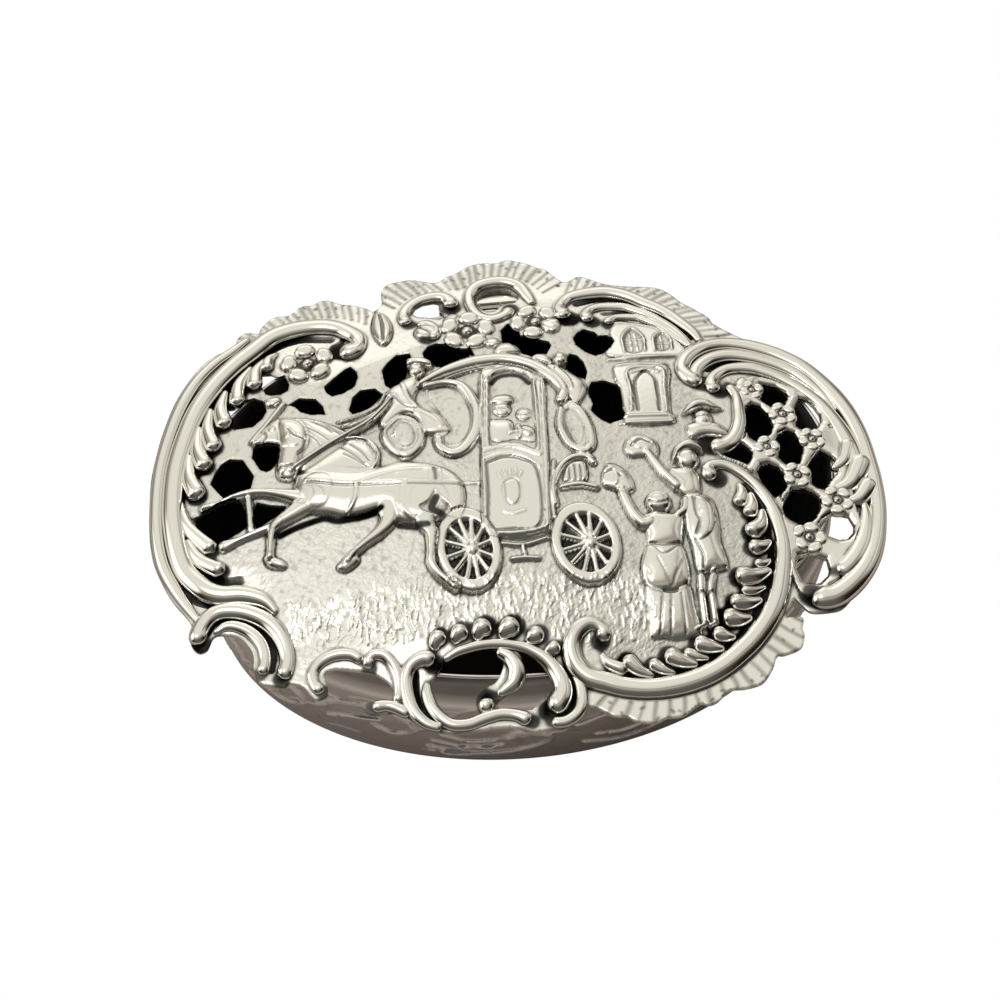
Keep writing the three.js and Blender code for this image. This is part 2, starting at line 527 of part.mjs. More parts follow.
// The leaf on the collar that carries the first, third and fifth knuckles
function bodyHingeLeaf() {
  const top = collarTop - runningGap;
  const back = mouthHalfWidth + leafThickness;
  const blank = solidOf(block(-hingeLength / 2, hingeLength / 2, mouthHalfWidth - leafOverlap, back, top - bodyLeafHeight, top));
  const filled = ovalPoints(0, 0, mouthHalfLength + solderGap, mouthHalfWidth + solderGap, ringSteps);
  return geometryOf(blank.subtract(solidOf(prism(filled, 0, rimHeight))).subtract(turningRoom([1, 3])));
}

// The leaf under the lid's overhang that carries the second and fourth knuckles
function lidHingeLeaf() {
  const blank = solidOf(block(-hingeLength / 2, hingeLength / 2, hingeY - seatDepth, hingeY + lidLeafDepth, 0, prismTop));
  const under = lidLayer(-lidThickness - leafThickness, -lidThickness - solderGap);
  const seats = solidOf(hingeBar(knuckleRadius + solderGap, -hingeLength, hingeLength));
  return geometryOf(blank.intersect(under).subtract(seats).subtract(turningRoom([0, 2, 4])));
}

function buildBox() {
  const box = new THREE.Group();
  box.name = 'lidded_box';
  box.add(piece('body_wall', bodyWall(), shadedSilver));
  box.add(piece('base_disc', baseDisc(), tarnishedSilver));
  box.add(piece('mouth_wire', mouthWire(), silver));
  box.add(piece('body_hinge_leaf', bodyHingeLeaf(), shadedSilver));
  box.add(piece('knuckle_1', knuckle(0), shadedSilver));
  box.add(piece('knuckle_3', knuckle(2), shadedSilver));
  box.add(piece('knuckle_5', knuckle(4), shadedSilver));
  box.add(piece('hinge_pin', hingeBar(pinRadius, -hingeLength / 2, hingeLength / 2), silver));
  box.add(piece('lid_cover', lidCover(), silver));
  box.add(piece('lid_hinge_leaf', lidHingeLeaf(), shadedSilver));
  box.add(piece('knuckle_2', knuckle(1), shadedSilver));
  box.add(piece('knuckle_4', knuckle(3), shadedSilver));
  return box;
}

export default buildBox();
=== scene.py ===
"""Silver box with a pierced and chased lid. Millimetres in the shapes, metres in the meshes."""

import math

import bpy
import numpy as np
from bpy.props import FloatProperty, FloatVectorProperty, IntProperty, PointerProperty
from bpy.types import Operator, Panel, PropertyGroup
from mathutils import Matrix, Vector


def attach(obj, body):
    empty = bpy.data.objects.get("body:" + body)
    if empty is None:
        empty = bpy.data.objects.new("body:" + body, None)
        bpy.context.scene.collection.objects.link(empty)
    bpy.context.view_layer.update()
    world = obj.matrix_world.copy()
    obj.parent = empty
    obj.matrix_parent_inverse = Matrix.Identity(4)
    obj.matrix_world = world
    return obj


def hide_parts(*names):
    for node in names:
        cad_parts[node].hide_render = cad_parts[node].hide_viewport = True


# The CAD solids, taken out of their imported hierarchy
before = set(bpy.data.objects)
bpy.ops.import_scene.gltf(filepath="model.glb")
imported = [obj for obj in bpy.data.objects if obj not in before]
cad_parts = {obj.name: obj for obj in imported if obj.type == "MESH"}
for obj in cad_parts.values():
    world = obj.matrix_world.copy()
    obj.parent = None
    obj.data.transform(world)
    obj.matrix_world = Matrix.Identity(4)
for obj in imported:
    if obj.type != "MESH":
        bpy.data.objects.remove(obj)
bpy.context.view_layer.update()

bl_info = {
    "name": "Silver lidded box",
    "version": (1, 0, 0),
    "blender": (4, 5, 0),
    "location": "View3D > Sidebar > Silver Box",
    "description": "Builds the looks of a lidded silver box on its CAD frame",
    "category": "Add Mesh",
}

MM = 0.001
# The mouth's half length and half depth, and the heights of the rim and of the collar's foot
MOUTH_X = 74.5
MOUTH_Y = 52.0
RIM_Z = 43.0
COLLAR_Z = 31.0
# The lid's top over the mouth line, the rise to its middle and how soon its overhang levels out
LID_Z = 44.3
DOME = 8.0
FLATTEN = 3.0
# The highest that the lid's relief may reach, as on the CAD lid
TOP_Z = 53.6
# The body wall's upper edge, inside the mouth wire
WALL_Z = 41.6
# From the origin of the lid's tables to the frame's
LID_SHIFT = (1.7, -0.5)

# How matted the silver is, from mirror bright at 0 to dull at 1
MATT_STRAP = 0.08
MATT_WHEEL = 0.1
MATT_RAISED = 0.12
MATT_BLADE = 0.15
MATT_FRINGE = 0.2
MATT_PLAIN = 0.35
MATT_SUNK = 0.9
# What is matted more than this carries the marks of the punch
MATT_PUNCHED = 0.6

# The lid's edge, clockwise from the lower left
EDGE = [
    (-77.5, -29.5), (-80.7, -24.4), (-82.9, -19.8), (-85, -13.5), (-85.7, -8.5), (-85.8, -3),
    (-85.6, 2.5), (-85, 10), (-83.7, 16.5), (-82, 23), (-79, 31.5), (-75.6, 37.8), (-72.1, 42.5),
    (-68.3, 45.6), (-64, 47.1), (-63.4, 49.6), (-61.8, 51.4), (-60.3, 51.6), (-58.2, 51), (-57.3, 52.8),
    (-54.9, 55.3), (-53, 55.9), (-50.3, 56.1), (-48, 58), (-46.4, 58.6), (-44.4, 58.7), (-42.8, 59.5),
    (-40.7, 59.6), (-37.8, 58), (-34.7, 57.2), (-31.3, 55.5), (-30.3, 54.5), (-28.3, 55.9), (-27.8, 57.6),
    (-27.7, 60.8), (-26, 63), (-21.8, 63.9), (-19.1, 63.7), (-14.2, 62.3), (-11.6, 63.9), (-9.5, 64.6),
    (-5.6, 66.9), (-2.1, 67.6), (-0.4, 67.3), (1.4, 67.2), (4, 67.9), (8.3, 66.3), (11.3, 64.4),
    (12.8, 63.8), (14.8, 61.2), (17.1, 59), (20.4, 60.5), (22.5, 59.9), (27, 57.4), (32.3, 56.2),
    (38.5, 55.2), (41.7, 53.2), (44.4, 49.8), (47.5, 47), (50.2, 44.2), (51.1, 42), (54.6, 38.8),
    (58.4, 36), (62.9, 33.2), (67.4, 30.4), (71.9, 25.7), (76.3, 20), (79.4, 13), (81.1, 7), (82.6, -0.3),
    (82.9, -7), (81.9, -16), (80.3, -23.7), (77.8, -29.6), (73.8, -34.7), (71.2, -37.6), (67.8, -40.9),
    (64.5, -41.6), (60.6, -41.4), (58.8, -39.6), (57.4, -37.8), (56.2, -39.6), (54.8, -42.2),
    (58.4, -42.6), (57.9, -45.4), (58.1, -47.2), (56.7, -50.2), (52.8, -51.6), (51.2, -51.7),
    (49.7, -54.7), (46.9, -58.1), (43, -59.1), (39.4, -59.3), (36.3, -61.8), (34.3, -62.4), (32.4, -62),
    (28.4, -64.5), (24.8, -64.7), (22.2, -65.6), (18, -64.8), (16.2, -63.5), (13.4, -63.1), (9.3, -60.4),
    (7, -60.5), (5, -63), (2.2, -65.1), (-1.7, -65), (-4.6, -65.2), (-8, -63.8), (-12.2, -63.4),
    (-19.1, -63.9), (-25.2, -63), (-29.8, -60.1), (-33, -57.8), (-36, -57.5), (-39.3, -57.4),
    (-40.7, -55.6), (-39.7, -54.3), (-36, -54.2), (-34, -53.6), (-34.1, -51.9), (-35.1, -49.8),
    (-38, -47.6), (-42, -46.4), (-46.4, -45.5), (-48.7, -46.4), (-48.2, -49.6), (-48.4, -51.6),
    (-49.8, -52.4), (-51.3, -52), (-53.6, -48.7), (-56.5, -47.7), (-57.6, -48.6), (-60.8, -47.6),
    (-63.2, -46.6), (-64, -43.5), (-64, -39.1), (-66.6, -35.1), (-70, -33.8), (-72.4, -34), (-74, -37),
    (-76, -37.5), (-77.5, -35.3), (-77.4, -32.6),
]

# Pierced openings
HOLES = [
    [(-21, 52.3), (-19.9, 54.3), (-18, 55.5), (-15.3, 55.8), (-13.9, 55.1), (-13.9, 52.6), (-13, 49.6),
        (-14.8, 49.1), (-17.5, 50.2), (-19.6, 50.8)],
    [(-5, 55.1), (-4.5, 56.9), (-3, 58.3), (-1.1, 58.9), (1.3, 59), (3.7, 58), (5.1, 56.4), (5.4, 54.5),
        (4.3, 53.3), (2.1, 53.1), (0.8, 52.3), (-1, 50.3), (-2.9, 50.2), (-4.2, 51.6), (-5, 53.6)],
    [(-58.9, 37.8), (-55.8, 37.4), (-54.2, 36), (-52.5, 36.3), (-51.5, 32.5), (-52, 30.4), (-53.6, 29.6),
        (-56.1, 29.7), (-57.4, 30.7), (-58, 33.1)],
    [(-41.1, 32.3), (-39.5, 33.7), (-38.3, 34.8), (-36.8, 35.5), (-35.5, 33.5), (-35.3, 31.4),
        (-36.3, 28.3), (-38.8, 26.7), (-41.8, 26.2), (-43.2, 27.8), (-43.5, 29.9), (-42.1, 31.2)],
    [(-66.9, 28), (-65, 27.8), (-62.5, 29.8), (-60.2, 30.3), (-58, 28.7), (-57.2, 25), (-58.4, 22.6),
        (-60.7, 20.7), (-65.1, 20.8), (-66, 22.5), (-66.5, 25)],
    [(-52.3, 25.7), (-50.7, 26.7), (-49.5, 27.4), (-45.7, 26.3), (-44.1, 23.7), (-43.6, 20.8),
        (-47.1, 21.3), (-49.4, 22.7), (-50.7, 24.7)],
    [(-31.6, 26.8), (-29.7, 24.4), (-31.4, 22.3), (-33.3, 20.6), (-35.2, 19.9), (-37.3, 19.4),
        (-38.2, 20.9), (-37.6, 22.9), (-37.1, 24.9), (-34.9, 27)],
    [(-25.8, 37.5), (-22.6, 37.5), (-22.2, 35.8), (-23.7, 34.2), (-23.5, 31.7), (-24.3, 28.4),
        (-25.7, 26), (-27.8, 26), (-29.2, 27.3), (-29.6, 32.6), (-28.3, 34.9)],
    [(-19.6, 37), (-18.2, 39.2), (-16, 40), (-13.3, 39.3), (-10.6, 37.3), (-8, 36.8), (-7.2, 33.9),
        (-10.1, 32.2), (-14.3, 30.8), (-16.8, 31.4), (-18.4, 33.7), (-19.5, 35.6)],
    [(1.4, 44.9), (3.1, 44.9), (4.1, 42.9), (4.1, 40.2), (6.8, 39.4), (8.8, 38), (10.6, 37.3),
        (11.1, 35.7), (9.5, 32.6), (7.7, 32.8), (5.8, 32.2), (3.7, 33.5), (3.3, 35.3), (2.2, 36.7),
        (-0.6, 37.7), (-0.4, 41.2), (-0.5, 42.5)],
    [(16.4, 37.9), (17.5, 39.8), (19.4, 41.2), (20.5, 40.6), (22, 39.8), (22.6, 38.6), (24.6, 38.6),
        (25.7, 37.4), (26.2, 35.8), (24.9, 33.4), (22.9, 31.8), (21, 31.1), (18.7, 32.7), (16.8, 35.2)],
    [(14.9, 32.5), (16.7, 31.7), (17.9, 29.3), (18.4, 26), (17.6, 23.2), (15.5, 24.4), (13.5, 25.8),
        (13.1, 27.2), (14.2, 29.2), (14.3, 31)],
    [(18.8, 22.4), (21.9, 22.9), (24.6, 21.3), (25.3, 19.8), (25.3, 16), (25, 13.6), (25.5, 11.9),
        (24.8, 10.3), (21.5, 9.2), (20, 10.2), (18.4, 12), (17.6, 13.7), (18.3, 15.5), (17.6, 18.8),
        (18.1, 21)],
    [(-71.4, 6), (-70.2, 8.9), (-68.6, 11.2), (-66.5, 12.2), (-63.4, 11.2), (-62.4, 8.9), (-61.1, 6),
        (-62, 2.6), (-65.5, 1.7), (-68.1, 0.6), (-69.9, 3.4)],
    [(-61, 14), (-57.9, 14.4), (-55, 13.4), (-54.8, 11.9), (-55.3, 8.6), (-57.2, 6.5), (-58.4, 6.3),
        (-59.7, 7.3), (-61.4, 11.3)],
    [(-76.2, -2.6), (-71.4, -1.8), (-69.8, -0.9), (-66.3, -0.3), (-64.3, -0.9), (-63.7, -3.3),
        (-63.5, -8.2), (-67.1, -9.8), (-70.4, -11.2), (-74.2, -7), (-75.7, -5)],
    [(-61.9, -3.9), (-60.9, -1.6), (-58.1, -2.9), (-54.3, -4.1), (-53.8, -5.2), (-54.8, -6.4),
        (-57.4, -6.9), (-59.8, -8.2), (-61.2, -8.8), (-61.8, -7.6)],
    [(58.7, 20.8), (62.3, 20), (64.6, 18), (65, 16.8), (63.4, 14.1), (60.6, 13.2), (58.4, 15.3),
        (58, 17.9)],
    [(55.7, 14.3), (57.6, 13.5), (58.9, 11.2), (59.7, 7.9), (58.7, 5.4), (56.9, 3.7), (54.9, 3),
        (53.5, 4.3), (52.6, 6.7), (53.1, 9.1), (53.7, 12.6)],
    [(67.4, 16.3), (69.3, 16), (70.6, 14.3), (71.5, 11.8), (71.4, 9.2), (70, 7.2), (67, 6.3), (65.4, 7.4),
        (65.2, 10), (65.3, 12.5)],
    [(62.7, 6.5), (64.5, 5.6), (65.1, 3.7), (65.8, 1.7), (65.1, -0.7), (64.1, -3), (62, -3.8),
        (60.5, -3.1), (59.5, -1.6), (60.1, 0.5), (59.2, 2.8), (60.5, 5.2)],
    [(46.1, 0.3), (48.3, 2), (50.4, 3.2), (51.7, 2), (53.3, 0), (52.8, -2), (51.9, -3.6), (49.8, -2.5),
        (47.8, -1.6), (46.3, -0.8)],
    [(69.6, 0.8), (71.9, -0.8), (73.4, -2.7), (72.6, -5.6), (70.8, -7.6), (69.1, -10.2), (67.2, -9.7),
        (66.1, -8.5), (66.5, -5.9), (65.6, -4.3), (67.4, -1.6)],
    [(53.6, -5.9), (54.9, -4), (57, -3.4), (58.8, -4.4), (59.9, -5.9), (60.3, -8.2), (59.6, -10.5),
        (57, -12.6), (55.7, -10.9), (54.5, -8.6)],
    [(61.1, -10.5), (64.1, -10.3), (65.9, -11.2), (67.2, -12.6), (67, -15.2), (65.6, -17.5),
        (63.6, -19.3), (61.6, -19.6), (59.5, -18.2), (58.1, -16.7), (58.2, -14.7), (59.4, -12.7)],
    [(71, -16.5), (73.2, -17.4), (74, -19.7), (73.6, -21.8), (72.1, -23.3), (70, -23.6), (67.5, -22.4),
        (66, -21.3), (65.8, -19.8), (67, -18.3), (69.7, -16.6)],
    [(60, -27.6), (62.8, -26.9), (64.7, -27.7), (66.2, -28.4), (66.4, -31), (65.7, -32.8), (63.7, -34.6),
        (60.8, -34.2), (59.6, -33.4), (58.9, -30.6), (59.3, -28.9)],
    [(-21.9, -46.2), (-19.4, -44.9), (-16.7, -44.2), (-14, -44.2), (-11.2, -45.2), (-9.9, -46.6),
        (-9.3, -48.5), (-9.7, -50.2), (-10.7, -52), (-12, -53.2), (-13.5, -53.8), (-15.8, -55.5),
        (-16.2, -58), (-15.6, -60.2), (-17.7, -61.2), (-20, -61), (-22.7, -60), (-24.4, -58.2),
        (-25.7, -55.8), (-26.3, -53.3), (-25.8, -51.2), (-24.9, -50.4), (-23.4, -48.6)],
    [(-6, -46), (-3.6, -47), (-1, -48.8), (0.5, -50.8), (1.3, -53), (1, -55.2), (-0.3, -57),
        (-1.9, -57.9), (-3.4, -59.4), (-4.1, -60), (-6.4, -59.8), (-11.5, -59.6), (-11.5, -57.3),
        (-10.5, -56.6), (-8, -55), (-5.9, -53.5), (-5.2, -51.5), (-5, -50), (-5.3, -48.2)],
]

# Scrolls: runs of x, y and half width, from one tip to the other
SCROLLS = {
    "left_c": [(-39.2, 41.4, 2.8), (-36.6, 40.6, 2.8), (-34.7, 42.4, 2.3), (-34.9, 45.8, 2.3),
        (-37.8, 48.8, 2.3), (-41, 50.4, 2.4), (-45, 51, 2.4), (-50, 50.6, 2.5), (-55, 48.9, 2.5),
        (-60, 44.8, 2.5), (-64.7, 40.7, 2.5), (-69.5, 35.2, 2.5), (-73.8, 28.3, 2.5), (-77, 20, 2.5),
        (-79.4, 11, 2.5), (-80.4, 1, 2.5), (-80.2, -6, 2.5), (-79.4, -12, 2.5), (-78, -16.8, 2.5),
        (-75.6, -20.3, 2.6), (-73.1, -22.8, 2.6), (-70, -24.2, 2.5), (-66, -24.9, 2.3), (-62.5, -26.2, 2),
        (-60, -28, 1.5), (-58, -31, 0.7)],
    "left_rim": [(-60.4, 49.6, 0.8), (-64.6, 46, 1.2), (-69, 42.6, 1.3), (-73.4, 37.6, 1.4),
        (-77.2, 30.8, 1.5), (-80.3, 22.6, 1.5), (-82.8, 13, 1.5), (-84, 3, 1.5), (-84.1, -6, 1.5),
        (-83, -14.2, 1.5), (-80.2, -21.4, 1.4), (-76.8, -27.6, 1.1), (-74.8, -31, 0.7)],
    "crest_left": [(-11.3, 52.6, 2.3), (-11.4, 54.8, 2), (-12.8, 56.8, 1.7), (-15.6, 57.3, 1.6),
        (-19.1, 56.3, 1.6), (-22.2, 53.6, 1.6), (-23.1, 50.6, 1.6), (-22, 48, 1.8)],
    "crest_curl": [(-20.2, 47.6, 0.9), (-17.6, 47.4, 1.3), (-16, 45.2, 1.4), (-16.4, 42.8, 1.8),
        (-18, 42.2, 2.3)],
    "crest_loop": [(2.9, 50.6, 1.9), (1.3, 48.2, 1.6), (-1.9, 46.9, 1.5), (-4.9, 48.4, 1.5),
        (-6.6, 52.6, 1.5), (-6.4, 57, 1.6), (-3.7, 60, 1.7), (1.4, 60.7, 1.7), (5.5, 58.8, 1.7),
        (7.6, 54.6, 1.5), (8.6, 51.6, 1)],
    "top_right_a": [(16.2, 45.2, 2.8), (14.9, 47.4, 2.2), (14.7, 50, 1.7), (17, 53, 1.7),
        (20.5, 54.2, 1.8), (25.8, 54.5, 1.9), (29.5, 53.5, 1.9), (32.5, 51.9, 1.9), (35.2, 49.8, 1.9),
        (38.2, 47.8, 1.8), (41, 45.2, 1.7), (43.5, 42, 1.6), (45.8, 38.5, 1.4), (47, 35, 1)],
    "top_right_b": [(21.6, 43.6, 2.2), (20.6, 45.6, 1.7), (21.4, 47.8, 1.4), (24.6, 49.2, 1.4),
        (29.8, 48.8, 1.4), (32.6, 47.4, 1.4), (35.4, 45.6, 1.4), (38, 43.1, 1.4), (40.7, 40, 1.3),
        (43.2, 36, 1.1), (44.4, 33.4, 0.7)],
    "top_right_c": [(25.6, 42.2, 1.8), (26, 43.8, 1.3), (28.4, 44.9, 1.1), (32.8, 44.6, 1.1),
        (35, 43.2, 1.1), (37.6, 41.2, 1.1), (40, 38.3, 1), (42.5, 35.4, 0.8), (44.2, 33.4, 0.5)],
    "right_outer": [(45, 20.8, 2.3), (42.4, 22.4, 2.2), (41, 25.6, 1.9), (42.8, 29.8, 2), (47, 33, 2),
        (52, 34.4, 2), (57, 33.9, 2.1), (62, 32.1, 2.1), (66, 29.8, 2.1), (70, 26.5, 2.1),
        (73.5, 22, 2.1), (76.5, 17, 2.1), (78.8, 11.5, 2), (80.3, 5, 1.9), (80.9, -2, 1.9),
        (81.1, -8, 1.9), (80.7, -14, 2), (79.8, -19.4, 2), (78.3, -24.4, 2.2), (76.2, -28.8, 2.4),
        (73.4, -32.6, 2.6), (70, -35.8, 2.8), (66.4, -38, 2.9), (63.2, -38.2, 3), (61.3, -37.2, 2.9)],
    "right_second": [(43.5, 22, 1.4), (44.6, 25.8, 1.7), (48, 28.9, 1.9), (52.6, 30.3, 2), (58, 29.7, 2),
        (63, 27.9, 1.9), (67.4, 25.2, 1.8), (70.8, 21.4, 1.7), (73.6, 17.4, 1.2), (75.6, 12.4, 0.8)],
    "right_third": [(48.6, 18.2, 2.1), (47.2, 20, 1.9), (48.4, 23.2, 1.6), (52, 25.6, 1.6), (57, 26, 1.8),
        (61, 24.7, 1.8), (65, 22.4, 1.8), (69, 19, 1.8), (72.4, 14.9, 1.8), (74.6, 10.6, 1.9),
        (76.2, 5.6, 2.3), (77.2, 0.6, 2.4), (77.6, -4.4, 2), (77.4, -9, 1.2)],
    "right_hook": [(51, 20.4, 1.3), (52.4, 16.6, 1.5), (52.3, 12.4, 1.7), (51.6, 7.6, 1.8),
        (49.6, 3.6, 2), (46.6, 1.4, 2.2), (43.6, 1.8, 2.6)],
    "right_leaf": [(77.6, -12.6, 0.6), (77.4, -18, 1.7), (76, -23.2, 2.3), (73.6, -27.4, 2.5),
        (70.7, -30.6, 2.5), (67.8, -32.2, 2.3)],
    "bottom_c": [(12.4, -46, 2.1), (13.4, -44, 1.7), (11.8, -42.2, 1.6), (9.4, -42.2, 1.9),
        (7, -44.2, 2.1), (5.9, -47.4, 2.2), (6.6, -51, 2.3), (9, -53.8, 2.4), (12.8, -55.4, 2.5),
        (16.6, -56.8, 2.5), (21.2, -57.6, 2.5), (25.8, -57.6, 2.6), (30.5, -56.9, 2.6), (35, -55.5, 2.6),
        (39.5, -53.2, 2.6), (43.3, -50.4, 2.6), (46.8, -47.3, 2.6), (50, -43.6, 2.5), (52.6, -39.6, 2.4),
        (54.6, -35, 2.3), (56, -30, 2.1), (56.8, -25, 1.9), (56.6, -20, 1.8), (55.6, -15, 1.7),
        (53.4, -10.2, 1.6), (50.2, -6.2, 1.5), (46.4, -3.8, 1.4), (43, -4.2, 1.6), (42.4, -6, 2),
        (44, -7.4, 2.5)],
    "front_outer": [(-24.6, -47.4, 2.3), (-26.4, -46, 1.8), (-29.4, -47, 1.6), (-31, -49.8, 1.6),
        (-31, -53.9, 1.6), (-29.8, -58, 1.5), (-27.4, -61, 1.3), (-24.2, -62.6, 1)],
    "front_inner": [(-26.5, -51.2, 0.9), (-26.6, -54.4, 1.4), (-25.4, -58.2, 1.5), (-22.4, -61.6, 1.5),
        (-18.5, -62.2, 1.5), (-14.9, -61.2, 1.5), (-11.3, -60.5, 1.5), (-8, -61, 1.5), (-5.8, -62.2, 1.8),
        (-4.6, -62.9, 1.8)],
    "front_arc": [(-22.4, -46.8, 0.7), (-18.4, -45.1, 1), (-11.8, -44.4, 1.1), (-4.9, -45.8, 1.2),
        (-0.2, -48.9, 1.6), (2.3, -52.8, 2), (2.9, -56.4, 2.3), (1.4, -59.2, 2.5), (-0.6, -60.6, 2.4)],
    "front_right": [(5.4, -51.4, 0.7), (6.8, -55, 1.2), (6.9, -58.8, 1.4), (5.6, -61.8, 1.4),
        (2.8, -63.6, 1.4), (-0.6, -63.6, 1.3)],
    "front_leaf": [(-10.7, -46, 0.9), (-8, -47.9, 1.6), (-6.7, -50.8, 2.1), (-7.6, -53.4, 2),
        (-10, -55, 1.3), (-11.4, -56, 0.8)],
    "front_ball": [(-14.6, -60, 1.3), (-14.2, -58.6, 1.7), (-13.9, -57, 2.4), (-13.9, -56.4, 2.4)],
    "low_left": [(-75.2, -35.8, 2.3), (-75.8, -33.2, 2.1), (-73.8, -29.8, 2), (-70.9, -28.2, 2),
        (-67.4, -28.5, 2), (-64.1, -29.8, 2), (-60.8, -32.1, 2), (-58.4, -35, 2), (-57, -38.3, 1.9),
        (-56.5, -42, 1.8), (-57.2, -45, 1.9), (-58.2, -46.6, 1.9)],
    "low_left_in": [(-72.4, -33.4, 0.7), (-69.5, -31.9, 1.2), (-66.5, -32.7, 1.4), (-63.8, -34.8, 1.5),
        (-62, -37.6, 1.5), (-61.4, -40.8, 1.5), (-61.9, -43.6, 1.5), (-62.7, -45, 1.6)],
    "notch": [(-49.2, -51, 1.7), (-50.7, -49.2, 1.4), (-51.3, -46.6, 1.4), (-50.2, -44.4, 1.4),
        (-48, -43, 1.4), (-45.4, -42.5, 1.4), (-42.4, -43, 1.3), (-40, -44.8, 1.2)],
    "notch_right": [(-38.5, -46.6, 1.6), (-38.7, -44.7, 1.4), (-37.4, -43.7, 1.3), (-35.1, -44.3, 1.4),
        (-33.3, -47, 1.4), (-32.6, -49.8, 1.4), (-32.7, -53, 1.3), (-33.4, -55.6, 1.2)],
    "low_curl": [(-30.8, -58.6, 1.2), (-33.7, -56.5, 1.4), (-36, -55.7, 1.4), (-39, -55.9, 1.6)],
}

# Gadroons: half width, then tail, middle and head
DROPS = [
    (1.7, (-53.6, 43.9), (-56, 42), (-56.7, 39)), (2.1, (-56.4, 42.8), (-59.2, 38.6), (-59.9, 33.6)),
    (2.1, (-60.2, 40.6), (-63.4, 35), (-64.2, 29)), (2.3, (-66.6, 34), (-68.1, 27.8), (-67.2, 22.5)),
    (2.2, (-70.4, 29), (-71.4, 22), (-70, 16)), (2.3, (-73.4, 24), (-74, 16.6), (-72.3, 11)), (2.4,
    (-76, 16), (-76.2, 9), (-74.4, 3)), (2.1, (-78.6, 3), (-77, -5), (-71.8, -12.2)), (2.1, (-77.4, -8),
    (-75, -14), (-70, -18.2)), (2.1, (23.4, -54.8), (20, -53), (17.8, -50.6)), (1.7, (28.3, -54.4),
    (25.4, -53.4), (23.3, -51.6)), (2.3, (33.5, -52.8), (30, -51.8), (27.2, -50)), (1.5, (36.2, -51.4),
    (33.4, -50.8), (31.2, -49.6)), (2.2, (40, -49.4), (37, -48.8), (34, -47.6)), (2, (43, -46.6),
    (40.6, -46.4), (38.4, -45.4)), (2.4, (47.3, -42), (44.2, -42.6), (41.3, -42)), (2.1, (50.2, -37.8),
    (46.8, -38.8), (43.4, -38.4)), (1.3, (51.5, -34.8), (48.6, -35.8), (46, -35.8)), (2.4, (53.3, -30.8),
    (49.4, -32.4), (45.5, -32.6)), (1.3, (53.6, -28.2), (51.8, -29.3), (50, -29.4)), (2.1, (54.3, -23.6),
    (51.8, -25.2), (49.5, -25.6)), (2.3, (53.4, -15.5), (52.4, -19.6), (49.7, -21.8)), (1.9, (51.2, -11),
    (51.2, -14.6), (50, -17)), (1.8, (48.8, -8.6), (49.3, -11.6), (48.2, -14.2)), (1.7, (12.3, -48.4),
    (13.6, -51), (17, -52.8)), (2.1, (-24.1, -44.8), (-23.8, -43), (-22.6, -41.4)), (2.2, (-19.8, -43.8),
    (-19.1, -42.2), (-17.6, -40.8)), (2.5, (-14.7, -43.6), (-14.1, -41.8), (-12.5, -40.3)), (2.6,
    (-9.4, -43.8), (-8.3, -42.2), (-6.3, -40.8)), (2.2, (-3.8, -45.2), (-2.7, -44.2), (-0.8, -43.2)),
    (1.8, (-0.2, -47.8), (1.1, -47.1), (2.7, -46.6)), (2.9, (70.6, -10.4), (75.6, -8.2), (79.2, -2)),
    (2.4, (71.6, -4.6), (75, -2), (77, 3)), (2.4, (72.4, -13), (76.6, -12.6), (80, -8.4)),
]
